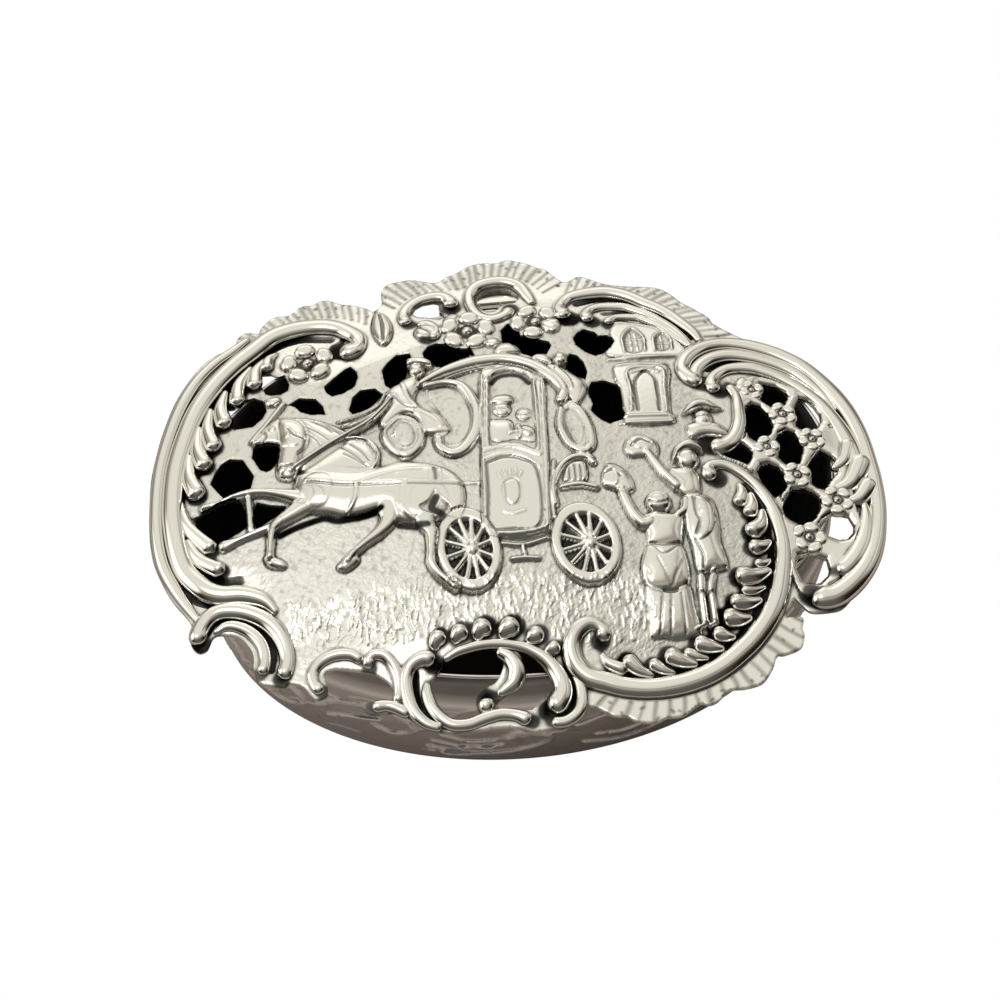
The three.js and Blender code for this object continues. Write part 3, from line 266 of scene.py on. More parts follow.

# The chased scene: steps of (kind, height, size, points), in mm.
# "mound" swells a closed outline over an edge of that size, or up to its middle where the size is 0.
# "sink" lowers one. "ridge" raises a line of that half width, and "groove" sinks one.
# "limb" raises a line whose points give its half width.
# "dot" raises an oval of x, y, half width and half height.
# "shade" blackens a line, as oxide or as painted shade: its height is how black, and its size the half
# width.
# A kind that starts with "on_" adds to what is there.
HORSES = [
    ("mound", 1.5, 0, [(-61.4, 15.3), (-59.6, 17.4), (-57.2, 19.6), (-54.6, 21.6), (-53.6, 18.4),
        (-54.2, 13.6), (-57.4, 13.3), (-59.6, 13.2)]),
    ("on_groove", 0.3, 0.3, [(-58.6, 13.8), (-57.8, 16), (-58.6, 17.6)]),
    ("on_dot", 0.4, 0, (-60, 15, 0.9, 0.9)),
    ("on_dot", 0.35, 0, (-56.2, 17.8, 0.8, 0.8)),
    ("ridge", 1.3, 0.8, [(-53.3, 25.6), (-57.1, 20.4), (-61, 15.6)]),
    ("mound", 1.9, 0, [(-54.3, 21.4), (-48.7, 20.2), (-43.2, 17.2), (-38.6, 13), (-40.6, 9.6), (-46, 6),
        (-50.2, 4.2), (-50.6, 8.8), (-49, 12.6), (-49.6, 17.1)]),
    ("on_groove", 0.3, 0.25, [(-47.3, 18.6), (-44.2, 16), (-42.5, 13.8)]),
    ("on_groove", 0.3, 0.25, [(-46, 17.7), (-42.4, 14.7), (-40.2, 12.7)]),
    ("on_groove", 0.3, 0.25, [(-48.4, 17), (-45.3, 13.8), (-43.5, 11.6)]),
    ("on_groove", 0.3, 0.25, [(-48, 14.4), (-46.3, 12.2), (-45.5, 10.2)]),
    ("on_groove", 0.3, 0.25, [(-44.1, 17.3), (-41.1, 14.1), (-39.2, 13)]),
    ("on_ridge", 0.25, 0.35, [(-52.8, 20.2), (-48.2, 19.2), (-42.8, 16.7)]),
    ("mound", 2.3, 0, [(-54.8, 20.4), (-52.8, 21.1), (-50.1, 19.9), (-48.4, 17), (-47.9, 13.4),
        (-48.6, 10.5), (-50.3, 8.2), (-50.8, 4.8), (-51.9, 2.7), (-54.1, 2.5), (-55.9, 4.2), (-55.5, 9.3),
        (-54.9, 14.1), (-55.2, 17.9)]),
    ("on_dot", 0.4, 0, (-54.6, 4.9, 0.8, 1)),
    ("on_dot", 0.35, 0, (-52.6, 4.8, 0.7, 0.9)),
    ("on_groove", 0.4, 0.3, [(-55, 6.5), (-53.7, 5.8), (-51.8, 6)]),
    ("on_groove", 0.4, 0.32, [(-52.6, 16.8), (-51.2, 14.4), (-49.1, 13.2)]),
    ("on_dot", 0.4, 0, (-52.8, 14.6, 0.6, 0.8)),
    ("on_groove", 0.4, 0.32, [(-48.8, 12.7), (-49.4, 10.4), (-50.7, 8.9)]),
    ("on_ridge", 0.3, 0.4, [(-54.8, 12.6), (-53, 11.6), (-51, 11.4)]),
    ("mound", 2.1, 0, [(-50.8, 3.6), (-46.7, 6.6), (-42, 9.6), (-38.6, 11.3), (-35.4, 10.4), (-33.2, 7.2),
        (-32.4, 2), (-36.8, -1.6), (-43.4, -1), (-49.6, -1.2)]),
    ("on_groove", 0.3, 0.28, [(-40.9, 9.2), (-38.3, 6.3), (-35.8, 3.5)]),
    ("on_groove", 0.3, 0.28, [(-40.2, 6.7), (-37.6, 4.4), (-35, 2.2)]),
    ("on_groove", 0.3, 0.28, [(-38.6, 9.4), (-36.2, 6.6), (-34.4, 3.8)]),
    ("ridge", 1.7, 0.55, [(-39.3, 11.3), (-36.9, 11.2), (-34.2, 9.8), (-32.6, 6.6), (-32.8, 3.7),
        (-33.8, 2)]),
    ("mound", 2.5, 0, [(-51.8, 2.4), (-49.8, 4.1), (-46.7, 4.4), (-42.2, 3.3), (-36.9, 1.8), (-32.3, 2.2),
        (-28.4, 2.9), (-23.9, 2.3), (-20.2, 1), (-16.6, -1.2), (-14, -4.9), (-13.9, -10.2), (-15.5, -14),
        (-18.5, -13.6), (-21.6, -14.2), (-26, -14), (-29.7, -12.6), (-32, -9.3), (-37, -9.8),
        (-41.2, -10.1), (-45.3, -8.6), (-50.5, -7), (-52.4, -3.8)]),
    ("on_mound", 0.6, 0, [(-28.4, -0.4), (-24, 0.4), (-19.5, -0.6), (-16.4, -3.8), (-16.4, -9),
        (-20.3, -12.6), (-25.6, -12.8), (-29, -10.2), (-29.6, -5.2)]),
    ("on_mound", 0.5, 0, [(-50.8, 0.2), (-47.6, 2.4), (-44.5, 1.8), (-43.3, -1.9), (-45.2, -6.4),
        (-49, -6.4), (-51, -3.6)]),
    ("limb", 2.1, 0, [(-48.4, -4.2, 2.8), (-52.4, -6.6, 2.2), (-56.4, -8.9, 1.6), (-57.8, -10.9, 1.25),
        (-58.4, -14.6, 0.95), (-58.7, -17.4, 1.05)]),
    ("mound", 1.5, 0, [(-60.1, -16.6), (-58.2, -16.8), (-55.4, -18.8), (-55.2, -20.6), (-57.8, -20.2),
        (-59.6, -18.8)]),
    ("limb", 1.9, 0, [(-50.2, -3, 2.3), (-54.6, -1.4, 1.6), (-58.4, -0.1, 1.25), (-62, 0.6, 1.2),
        (-66, 0.2, 1), (-70, -1, 0.95), (-73, -1.2, 1.2)]),
    ("limb", 1.4, 0, [(-56.8, -9, 1.2), (-61.8, -10.3, 1.05), (-65.4, -11.3, 0.95), (-68.8, -12, 1.7)]),
    ("ridge", 1.4, 1, [(-62.8, -0.2), (-62.7, -4.4), (-62.6, -9.2)]),
    ("limb", 1.9, 0, [(-31.4, -8.6, 2.8), (-31.6, -12.4, 2.2), (-33.8, -15.2, 1.5), (-37, -17.5, 1.1),
        (-40, -19.7, 1), (-41.4, -21.2, 1.3)]),
    ("mound", 1.5, 0, [(-40, -19.4), (-38.8, -21.6), (-42, -23.8), (-44, -22)]),
    ("limb", 2.1, 0, [(-22, -8.6, 4.2), (-23.4, -13.4, 2.5), (-22.2, -17, 1.6), (-22.6, -21.4, 1.2),
        (-22.9, -24.6, 1.15), (-21.2, -28, 1.05), (-18.2, -31, 1.3)]),
    # Painted shade along the foot of the belly and under the rump
    ("shade", 0.95, 0.8, [(-56.2, -11.8), (-52, -10.4), (-48.4, -9.6), (-45.6, -9.3), (-43, -10.4),
        (-41.2, -10.5), (-37, -10.3), (-33, -9.4)]),
    ("shade", 1, 0.7, [(-29.2, -13.9), (-26.1, -14.7), (-22.9, -15.4)]),
    ("on_groove", 0.3, 0.35, [(-49.3, -0.2), (-43.3, -1.9), (-38, -3), (-28.2, -4), (-20.7, -5),
        (-13.6, -5.8)]),
    ("on_ridge", 0.35, 0.35, [(-49.3, 0.6), (-43.3, -1.1), (-38, -2.2), (-28.2, -3.2), (-20.7, -4.2),
        (-9, -5.2)]),
    ("on_ridge", 0.4, 0.5, [(-38, -2.9), (-38.6, -6.3), (-40.4, -9.4)]),
    ("on_ridge", 0.3, 0.35, [(-38.4, -2.4), (-34.1, -1.1), (-27.9, 0), (-23.3, -0.3)]),
    ("on_ridge", 0.35, 0.5, [(-27, -3.4), (-27.9, -6.9), (-27.8, -10.9), (-25.7, -13.4)]),
    ("on_groove", 0.5, 0.55, [(-19.9, -0.5), (-20, -3.8)]),
    ("on_ridge", 0.3, 0.3, [(-21, -0.5), (-21.1, -3.8)]),
    ("on_ridge", 0.3, 0.3, [(-18.8, -0.6), (-18.9, -4)]),
    ("sink", 1.3, 0.8, [(-20.5, -6.6), (-22.2, -9.1), (-24.4, -10.5), (-23.2, -12), (-20.4, -13),
        (-19.4, -14.5), (-17.4, -11.7), (-19.5, -8.6)]),
    # The sunk patch on the rump is darkened
    ("shade", 0.8, 0.8, [(-20.4, -8.6), (-21.6, -11.2), (-19.4, -12.4)]),
    ("ridge", 2.5, 0.8, [(-51.6, 5.2), (-48.8, 6.9), (-44, 9.8), (-40, 12), (-34.4, 15), (-31.1, 18),
        (-28.1, 21.7)]),
    ("ridge", 1.3, 0.4, [(-40.8, 17.3), (-36.9, 18.1), (-31.6, 20.4), (-29.3, 24.1)]),
    ("ridge", 1.3, 0.4, [(-39.8, 15.6), (-35.9, 16.2), (-31, 19.3), (-28.5, 23.4)]),
    ("ridge", 1.3, 0.45, [(-35.7, 13.6), (-32.3, 16.4), (-28.1, 20.9)]),
]

COACH = [
    ("mound", 0.7, 1, [(-20.2, 25.4), (-12.4, 25.6), (-10, 21.9), (-8.9, 17.2), (-8.9, 12.9),
        (-10.2, 8.2), (-13.3, 4.6), (-16.1, 4.2), (-18.6, 6.4), (-19.3, 10), (-17, 15.4)]),
    ("sink", 0.5, 0.8, [(-18.6, 24.4), (-13, 24.2), (-11.2, 21.4), (-10.2, 17), (-10.2, 12.9), (-11.4, 9),
        (-13.6, 6.4), (-16.4, 6.2), (-17.6, 8.2), (-15.4, 10.6), (-17.2, 15.8), (-20, 20)]),
    ("limb", 1.7, 0, [(-19.9, 24.6, 0.9), (-15.4, 25.2, 1.1), (-11.8, 23.8, 1.3), (-9.8, 19.8, 1.4),
        (-8.9, 15, 1.4), (-9.8, 9.2, 1.4), (-12.6, 4.8, 1.3), (-15.6, 3.7, 1.2), (-18, 5.6, 1.1),
        (-18.4, 8, 1.3)]),
    ("mound", 0.9, 0.8, [(-7, 27), (-3.1, 28.8), (0.8, 28.8), (5.2, 26.4), (8, 23), (7, 12), (6.2, 0),
        (5, -14), (4.4, -19.4), (-2, -20.6), (-9.6, -19.4), (-10.6, -14), (-9.4, 0), (-8.4, 12)]),
    ("limb", 2.1, 0, [(-20.8, 25.6, 1), (-15.6, 28.7, 1.5), (-10.6, 30.6, 1.8), (-6.2, 31.5, 1.9),
        (-1.2, 31.4, 1.9), (3.4, 29.8, 1.9), (7.5, 26.8, 1.8), (10.6, 23, 1.7), (12, 19.4, 1.5),
        (11, 16.6, 1.4)]),
    ("ridge", 1.1, 0.4, [(-17.4, 25.6), (-10.8, 28), (-5.3, 29), (-0.9, 28.8), (4, 26.4), (7.4, 22.6)]),
    ("sink", 0.55, 0.5, [(-4.7, 24.8), (-2.8, 26.6), (-0.2, 27.1), (2.4, 26.2), (4.7, 23.4), (4.3, 12.6),
        (3.7, 3), (0, 4.6), (-3.6, 5.2), (-6.8, 4.8), (-5.8, 15.6)]),
    # Painted shadow inside the top of the window's arch
    ("shade", 0.85, 0.6, [(-4.7, 23.4), (-3, 25.4), (-0.2, 26), (2.4, 25.2), (4.2, 22.8)]),
    ("ridge", 1.3, 0.5, [(-6, 24.4), (-3.3, 27.2), (-0.2, 27.9), (2.9, 26.9), (5.7, 23.6)]),
    ("on_ridge", 0.4, 0.4, [(-6.6, 26.4), (-7.6, 15.8), (-8.8, 1.6), (-9.9, -17.4)]),
    ("on_ridge", 0.4, 0.4, [(-5.4, 25.2), (-6.4, 15.6), (-7.4, 4.3)]),
    ("on_ridge", 0.4, 0.4, [(5.3, 23.4), (4.8, 12.5), (4, 2.5)]),
    ("on_ridge", 0.45, 0.5, [(7.3, 23.6), (6.5, 12.3), (5.3, -3.3), (3.8, -18.8)]),
    ("on_ridge", 0.5, 0.6, [(-8, 3.4), (-3.6, 4.1), (0, 3.3), (4.2, 1)]),
    ("on_ridge", 0.35, 0.4, [(-8.6, 0.9), (-3.9, 2), (0.1, 1), (3.8, -2.4)]),
    ("on_groove", 0.35, 0.4, [(-8.1, -0.3), (-3.9, 0.9), (0.1, -0.2), (3.2, -3.6), (2.3, -17.4),
        (-4.3, -18.3), (-8.9, -17.2), (-8.4, -8), (-8.1, -0.3)]),
    ("on_ridge", 0.5, 0.5, [(-9.6, -18.4), (-4.3, -19.4), (2.1, -18.8), (4, -18)]),
    ("on_groove", 0.6, 0.4, [(-6.6, -20.2), (-1.7, -21), (3.8, -20)]),
    ("ridge", 0.8, 0.5, [(-6.8, -21.4), (-2, -22.2), (3.4, -21)]),
    ("ridge", 0.7, 0.45, [(-2.2, -22.6), (-1.9, -25)]),
    ("ridge", 0.9, 0.6, [(-4.8, -25.4), (-1.9, -25.4), (1, -25.8)]),
    ("mound", 1, 0, [(-6.4, 11.6), (-3.8, 12), (-1.4, 11.4), (-0.6, 8.2), (1, 9.4), (2.4, 9.4), (3.6, 8),
        (3.4, 5), (-1, 6), (-6, 6)]),
    ("dot", 1.2, 0, (-3, 15.2, 2.1, 2.2)),
    ("dot", 1.1, 0, (2, 13, 1.8, 1.9)),
    ("mound", 1.5, 0, [(-5.6, 17.4), (-4, 19.4), (-0.8, 19.1), (-0.2, 17), (-2.8, 16.6)]),
    ("on_groove", 0.25, 0.25, [(-3.8, 15.2), (-2.2, 14.9)]),
    ("on_groove", 0.25, 0.25, [(1.4, 12.8), (2.8, 12.6)]),
    ("on_ridge", 0.35, 0.5, [(-1.9, 7.8), (0.4, 8.4), (2.5, 7)]),
    ("on_ridge", 0.3, 0.4, [(0.3, 10), (0.6, 8), (0.2, 6.4)]),
    ("on_dot", 0.25, 0, (-3.1, -8.6, 2.2, 3.4)),
    ("on_groove", 0.2, 0.25, [(-4.6, -6), (-3, -5.2), (-1.4, -6.2), (-1.6, -10.4), (-3.2, -12.2),
        (-4.6, -10.6), (-4.6, -6)]),
    ("on_ridge", 0.2, 0.25, [(-5.8, -3.6), (-5.3, -4.7)]),
    ("on_ridge", 0.2, 0.25, [(-4.5, -2.8), (-4.1, -4.1)]),
    ("on_ridge", 0.2, 0.25, [(-3.1, -2.5), (-3, -4)]),
    ("on_ridge", 0.2, 0.25, [(-1.7, -2.7), (-2, -4)]),
    ("on_ridge", 0.2, 0.25, [(-0.5, -3.6), (-1.1, -4.7)]),
    ("on_ridge", 0.2, 0.3, [(-5.6, -13.6), (-3.4, -14.4), (-0.8, -13.8)]),
    ("mound", 1.1, 1, [(12.6, 16), (15.2, 12), (16.9, 8), (16.4, 4.4), (14.6, 1.4), (12.6, 0.8),
        (11, 3.4), (9.6, 8.8), (10.2, 13.6)]),
    ("sink", 0.5, 0.6, [(12.6, 13.6), (14.2, 10.8), (15.2, 7.6), (14.6, 4.4), (13.4, 2.8), (12.2, 4.2),
        (11, 8.8), (11.2, 12.4)]),
    ("limb", 1.7, 0, [(13, 15.2, 1), (15.2, 12.4, 1.2), (16.5, 7.4, 1.2), (16.2, 2.6, 1.1),
        (13.8, 1.2, 1), (11.2, 3.8, 1), (9.8, 9.2, 1), (10.6, 13.6, 0.9)]),
    ("ridge", 1.1, 0.5, [(15.4, 2.2), (15.2, 0.4), (16.2, -0.8)]),
    ("ridge", 1.3, 0.8, [(6.3, -12.6), (6.3, -7.8), (8.4, -3), (11.5, -0.4), (14.7, -0.4), (16.2, -2.2)]),
    ("mound", 1.0, 1, [(8.9, -7), (9.6, -3.4), (11.6, -1.6), (14.3, -2), (13.9, -7)]),
    ("on_groove", 0.35, 0.3, [(10.4, -3.4), (10.2, -6.8)]),
    ("on_groove", 0.35, 0.3, [(11.7, -2.6), (11.6, -6.8)]),
    ("on_groove", 0.35, 0.3, [(13, -3), (12.9, -6.8)]),
    ("ridge", 1.5, 0.75, [(8.2, -8.4), (12.3, -8), (16, -9)]),
    ("ridge", 0.8, 0.5, [(7.2, -1), (5.8, -8.7), (5.6, -16)]),
    ("mound", 1.9, 0, [(8.9, 28.2), (11, 28.4), (13.6, 26.2), (17.4, 21.4), (16.8, 17.7), (14.1, 14.5),
        (12.8, 17.4), (11.2, 21), (9.9, 24.8)]),
    ("on_ridge", 0.4, 0.5, [(11, 26.6), (13.2, 22.6), (13.8, 19.6)]),
    ("dot", 2.3, 0, (12.4, 30, 1.8, 2.2)),
    ("on_ridge", 0.4, 0.4, [(10.8, 31.6), (12.4, 32.2), (14, 31.6)]),
    ("mound", 1.7, 1.2, [(-2.8, 33.4), (-1.9, 36), (-0.2, 37), (1.6, 36.4), (3, 33.2)]),
    ("mound", 1.5, 1.2, [(5.6, 30.9), (7.4, 32.4), (9.8, 31.2), (10, 28.4)]),
    ("ridge", 1.5, 0.5, [(-8.6, 33), (-9, 34.8), (-8.4, 36.6)]),
]

DRIVER = [
    ("mound", 2.2, 0, [(-29.1, 24.2), (-25.7, 27.4), (-22.1, 28.6), (-21.2, 25.4), (-22.7, 20.8),
        (-20.6, 17.6), (-17.6, 15.6), (-15.2, 10.4), (-17.2, 9.6), (-21.3, 10.2), (-23.1, 15.5),
        (-26.1, 16.5), (-29.9, 13.1), (-31.6, 15.2), (-28.6, 20.6)]),
    ("on_ridge", 0.35, 0.6, [(-25.4, 26), (-24.4, 22), (-22.6, 18.4)]),
    ("on_ridge", 0.3, 0.5, [(-22.6, 17.4), (-19.4, 14.6), (-17.4, 11.4)]),
    ("on_groove", 0.3, 0.35, [(-27.6, 22.4), (-25.6, 19), (-22.6, 17.6)]),
    ("dot", 2.5, 0, (-21.6, 30, 2, 2.2)),
    ("mound", 2.9, 0, [(-24.6, 31.4), (-23.6, 34), (-20.4, 34.2), (-17.6, 32.2), (-18.2, 30.6),
        (-21.2, 31.4)]),
    ("mound", 1.8, 1.4, [(-31.6, 11.3), (-29.4, 14.6), (-26.6, 16.6), (-23.3, 15), (-21.2, 10.6),
        (-22, 6.4), (-24.8, 3.6), (-27.4, 3.6), (-30.2, 6.8)]),
    ("sink", 0.75, 1, [(-30.2, 11.1), (-28.2, 13.9), (-26.3, 15), (-23.6, 13.4), (-22.7, 8.9),
        (-25.1, 5.3), (-28.1, 6.1)]),
    ("on_mound", 0.9, 2, [(-28.6, 11.6), (-26.3, 14), (-24.2, 12.4), (-23.6, 8.9), (-25.1, 6.6),
        (-27.6, 7.6)]),
    ("on_dot", 0.35, 0, (-28.4, 10.6, 0.7, 0.8)),
]

LADY = [
    ("mound", 1.7, 0, [(24.2, -33), (28.2, -35), (33.6, -33.9), (34.6, -40), (35.2, -45.6), (31.9, -46.4),
        (29, -46.6), (26.4, -46), (23.7, -45.8), (24, -40)]),
    ("mound", 2.2, 0, [(26.1, -24), (32.8, -24.2), (34.4, -28.8), (34.1, -33.6), (31.8, -35.4),
        (27.8, -35.8), (24.4, -34.2), (23.5, -29.8)]),
    ("mound", 2, 0, [(25.2, -17.4), (27.9, -16), (31.3, -16.4), (34.6, -17.4), (34.2, -21), (32.8, -24.9),
        (26.1, -24.6), (25.8, -21.2)]),
    ("on_groove", 0.35, 0.35, [(26.4, -24.2), (29.5, -24.9), (32.8, -24.4)]),
    ("on_groove", 0.25, 0.3, [(26.7, -24.8), (29.3, -27.2), (32.7, -25)]),
    ("on_groove", 0.5, 0.5, [(28.2, -35.5), (29.6, -35.9), (31, -35.6)]),
    ("on_groove", 0.14, 0.4, [(27.4, -28.1), (28.7, -31.8), (29.7, -34.6)]),
    ("on_groove", 0.14, 0.4, [(33, -28.9), (31, -32.4), (30.1, -34.6)]),
    ("on_groove", 0.22, 0.36, [(27.5, -36.4), (25.9, -45.2)]),
    ("on_groove", 0.22, 0.36, [(29.4, -36.7), (28.3, -45.8)]),
    ("on_groove", 0.22, 0.36, [(31.7, -36.6), (31.7, -45.4)]),
    ("on_groove", 0.22, 0.36, [(33.3, -34.5), (34, -44.6)]),
    ("limb", 1.9, 0, [(27, -18.8, 1.7), (25.4, -19, 1.7), (23.6, -16.6, 1.5), (22.4, -13.2, 1.3),
        (21.7, -10.2, 1.2)]),
    ("mound", 1.6, 0, [(17.6, -5.6), (19.4, -2.8), (21.8, -3.4), (24.2, -6.4), (24.7, -10), (22.4, -11.2),
        (19.8, -9.8), (17.8, -8.6)]),
    ("on_groove", 0.4, 0.4, [(18.4, -5.2), (20.4, -4.8), (21.8, -6.6)]),
    ("on_ridge", 0.3, 0.4, [(19.2, -3), (21, -5.6), (20.6, -8.4)]),
    ("ridge", 1.6, 1.1, [(33.6, -17.2), (35.2, -16), (35.8, -13.6)]),
    ("dot", 2.8, 0, (29.6, -13.8, 3, 2.8)),
    ("on_ridge", 0.4, 0.5, [(27.2, -13.4), (28.4, -11.9), (30.8, -11.9), (32, -13.4)]),
    ("on_groove", 0.3, 0.3, [(27.2, -14), (29.8, -14.7), (32.2, -13.8)]),
]

GENTLEMAN = [
    ("mound", 2.1, 0, [(35.6, -12.6), (38.8, -11.6), (42.1, -13.4), (42.9, -19.9), (42.5, -23.7),
        (43.3, -30.4), (38.9, -31.4), (36, -31.2), (35.6, -25.3), (34.9, -19.7)]),
    ("mound", 2.1, 0, [(33.3, -5), (36, -4.6), (38.9, -5), (40.2, -8), (39.4, -12), (36, -12.6),
        (33.6, -9.8)]),
    ("on_mound", 0.45, 1, [(38.3, -12.7), (41.4, -14.6), (41.9, -18.6), (40.4, -22.4), (37.6, -24.2),
        (37.4, -22.4), (39, -19.6), (38.6, -16)]),
    ("on_groove", 0.35, 0.35, [(37.6, -13), (37.6, -17), (38.2, -19.4), (37, -22.4)]),
    ("on_groove", 0.3, 0.35, [(36.6, -24), (37.8, -27.6), (37.6, -31)]),
    ("ridge", 1.3, 1, [(36.9, -31.2), (36.6, -34), (36.4, -36.4)]),
    ("ridge", 1.3, 1, [(39.9, -31), (38.9, -34), (38.5, -36.2)]),
    ("ridge", 1.4, 0.9, [(36.3, -36.4), (36.3, -40), (36.3, -43)]),
    ("ridge", 1.4, 0.9, [(38.5, -36.4), (38.6, -40), (38.6, -42.6)]),
    ("ridge", 1.2, 0.6, [(33.9, -44.6), (35.6, -43.8), (36.8, -43.2)]),
    ("ridge", 1.2, 0.6, [(37.4, -43.8), (38.9, -43.2)]),
    ("on_groove", 0.4, 0.4, [(35.8, -31.6), (38.9, -31.8), (43, -30.9)]),
    ("on_groove", 0.4, 0.3, [(36, -36.3), (37.4, -36.5), (39.4, -36.3)]),
    ("limb", 1.9, 0, [(34.4, -9.4, 1.6), (32, -6.2, 1.4), (30.3, -3, 1.2), (28.8, 0, 1)]),
    ("mound", 1.7, 0, [(23.6, 1), (24.6, 3.8), (27.4, 5.2), (30.8, 3.8), (31.8, 0.8), (30.4, -1.9),
        (27.4, -1.2), (25, -1.2)]),
    ("on_groove", 0.4, 0.4, [(25.4, 1.6), (27.6, 3.4), (29.8, 2.4)]),
    ("on_ridge", 0.3, 0.4, [(24.8, 3), (27, 1.2), (29.4, 0.6)]),
    ("dot", 2.7, 0, (37.9, -2.4, 2.7, 3)),
    ("mound", 3, 0, [(34.3, -3.4), (34.6, -1), (35.8, 1.4), (38.6, 3), (41.2, 1.4), (41.8, -0.8),
        (39.4, -0.2), (36.8, -1)]),
    ("on_groove", 0.3, 0.3, [(35.8, -1.2), (38.2, 0.2), (41, -0.8)]),
    ("mound", 1.8, 0, [(38.8, 6.8), (40.6, 8.4), (44.6, 8.6), (47.4, 7.6), (48.6, 4), (44, 4.4),
        (39.6, 3.6)]),
    ("dot", 2.2, 0, (43.3, 9.4, 2.3, 2.6)),
    ("mound", 2.4, 1.1, [(38.6, 10.6), (40, 13), (42, 14.9), (45, 15), (46.8, 13.4), (48.6, 12.2),
        (46, 11.8), (43.6, 12.4), (41, 11.4)]),
    ("on_groove", 0.3, 0.3, [(41, 9.8), (43.4, 9.4), (45.2, 10)]),
]

HOUSE = [
    ("mound", 0.5, 0.6, [(24.8, 30.4), (42, 30.4), (40.4, 36.7), (36.6, 40.8), (32, 42.4), (27, 43),
        (25, 36)]),
    ("mound", 0.7, 0.6, [(25.4, 27.4), (24.8, 19.9), (25.3, 12.8), (25.6, 8.2), (36.2, 8.5), (36.2, 12.3),
        (36.9, 19.5), (37, 27)]),
    ("on_ridge", 0.4, 0.5, [(23.8, 29.4), (31.5, 29.8), (42.1, 30)]),
    ("on_ridge", 0.35, 0.4, [(25, 27), (31, 27.4), (37.2, 27.2)]),
    ("on_ridge", 0.4, 0.4, [(27, 12.6), (27.6, 19), (28, 25.4), (35.7, 25.6), (35.6, 19), (35.2, 12)]),
    ("on_groove", 0.45, 0.35, [(28.6, 12.4), (28.8, 19.7), (29.7, 22.8), (31.9, 24.7), (33.8, 22.6),
        (34, 19.5), (33.6, 12.2)]),
    ("on_ridge", 0.3, 0.3, [(28.4, 24.4), (31.9, 25.2), (35, 24.4)]),
    ("on_ridge", 0.35, 0.4, [(24.2, 10.6), (30, 10.8), (37, 10.6)]),
    ("on_ridge", 0.3, 0.3, [(23.8, 8.7), (36.6, 8.9)]),
    ("sink", 0.4, 0.4, [(28.6, 31.8), (28.7, 37), (30.8, 39.6), (32.5, 36.9), (32.3, 32)]),
    ("sink", 0.4, 0.4, [(35.9, 32.2), (36.3, 36.6), (37.9, 37.9), (39, 36), (38.8, 32.6)]),
    ("on_ridge", 0.35, 0.3, [(28, 31.8), (28.1, 37), (30.8, 40.4), (33.1, 36.9), (32.9, 32)]),
    ("on_ridge", 0.35, 0.3, [(35.3, 32), (35.6, 36.8), (37.9, 38.6), (39.6, 36), (39.4, 32.4)]),
    ("on_ridge", 0.25, 0.18, [(29.8, 32), (29.9, 38.6)]),
    ("on_ridge", 0.25, 0.18, [(31.2, 32), (31.2, 38.4)]),
    ("on_ridge", 0.25, 0.18, [(28.7, 34), (32.4, 34.2)]),
    ("on_ridge", 0.25, 0.18, [(28.7, 36), (32.5, 36.1)]),
    ("on_ridge", 0.25, 0.18, [(37.3, 32.4), (37.4, 37.4)]),
    ("on_ridge", 0.25, 0.18, [(36, 34.6), (39, 34.7)]),
    ("on_ridge", 0.3, 0.3, [(27.3, 42.4), (32, 41.7), (36.6, 40), (40.1, 36.4), (42.4, 32)]),
]

# Wheels: x, y, half width, half height, and x and y of the hub
WHEELS = [(-14.3, -22.2, 7.3, 10.7, -13.5, -22.2), (12, -23.1, 7.9, 10.4, 13.1, -23.1)]

# Small leaves and knobs among the scrolls
LEAVES = [
    ("mound", 1.5, 1.4, [(-29.6, 53.6), (-27.4, 52.4), (-26, 48), (-26.6, 43.4), (-28.6, 41),
                         (-30.6, 44.6), (-30.8, 49.4)]),
    ("mound", 1.6, 1.4, [(-20.8, 45), (-18.4, 47), (-15.6, 45.6), (-15.4, 42.6), (-17.6, 41),
                         (-20.4, 42.2)]),
    ("mound", 1.2, 1, [(-4.4, 38.6), (-2.2, 39.4), (-1, 37.4), (-2.6, 36), (-4.4, 36.8)]),
    ("mound", 1.4, 1.2, [(-12, 44.8), (-13.6, 47.6), (-11.6, 50), (-9.6, 48.6)]),
    ("mound", 1.4, 1.2, [(9.4, 44.2), (12.6, 44.8), (13.8, 42), (12, 39.8), (9.8, 41.4)]),
    ("mound", 1.3, 1, [(54.6, 22.8), (56.4, 21), (55.8, 19.2), (53.6, 18.2), (52.6, 20.4)]),
    ("mound", 1.3, 1.2, [(-57.6, 28.2), (-54.6, 28.6), (-53.8, 27), (-55.8, 25.6), (-57.4, 26.4)]),
    ("on_groove", 0.5, 0.4, [(-28.8, 52.4), (-28.4, 47.6), (-28.6, 42.6)]),
    ("on_groove", 0.4, 0.35, [(-19.8, 45.4), (-18, 43.8), (-16.8, 42.2)]),
]

# Flowers: x, y, distance of the petals, petal radius, petal count, turn in degrees, height
FLOWERS = [
    (-46.9, 38.2, 4.5, 2.15, 5, 95, 2.1), (-8.4, 42.9, 4.6, 2.2, 5, 78, 1.7),
    (8.2, 44.4, 4.3, 2, 5, 40, 1.6), (56.3, 18.2, 1.9, 1.3, 4, 20, 1.8),
    (62.4, 10.8, 2.3, 1.4, 5, 40, 1.9), (57, 1, 2, 1.4, 4, 10, 1.8), (68.2, 3.5, 2.2, 1.4, 5, 50, 1.9),
    (62.9, -6.8, 2.3, 1.5, 4, 30, 1.9), (71.3, -13.3, 2.6, 1.6, 5, 45, 1.9),
    (63, -23.2, 2.7, 1.7, 5, 0, 1.9), (73.6, 7.6, 1.4, 1, 4, 0, 1.4),
]

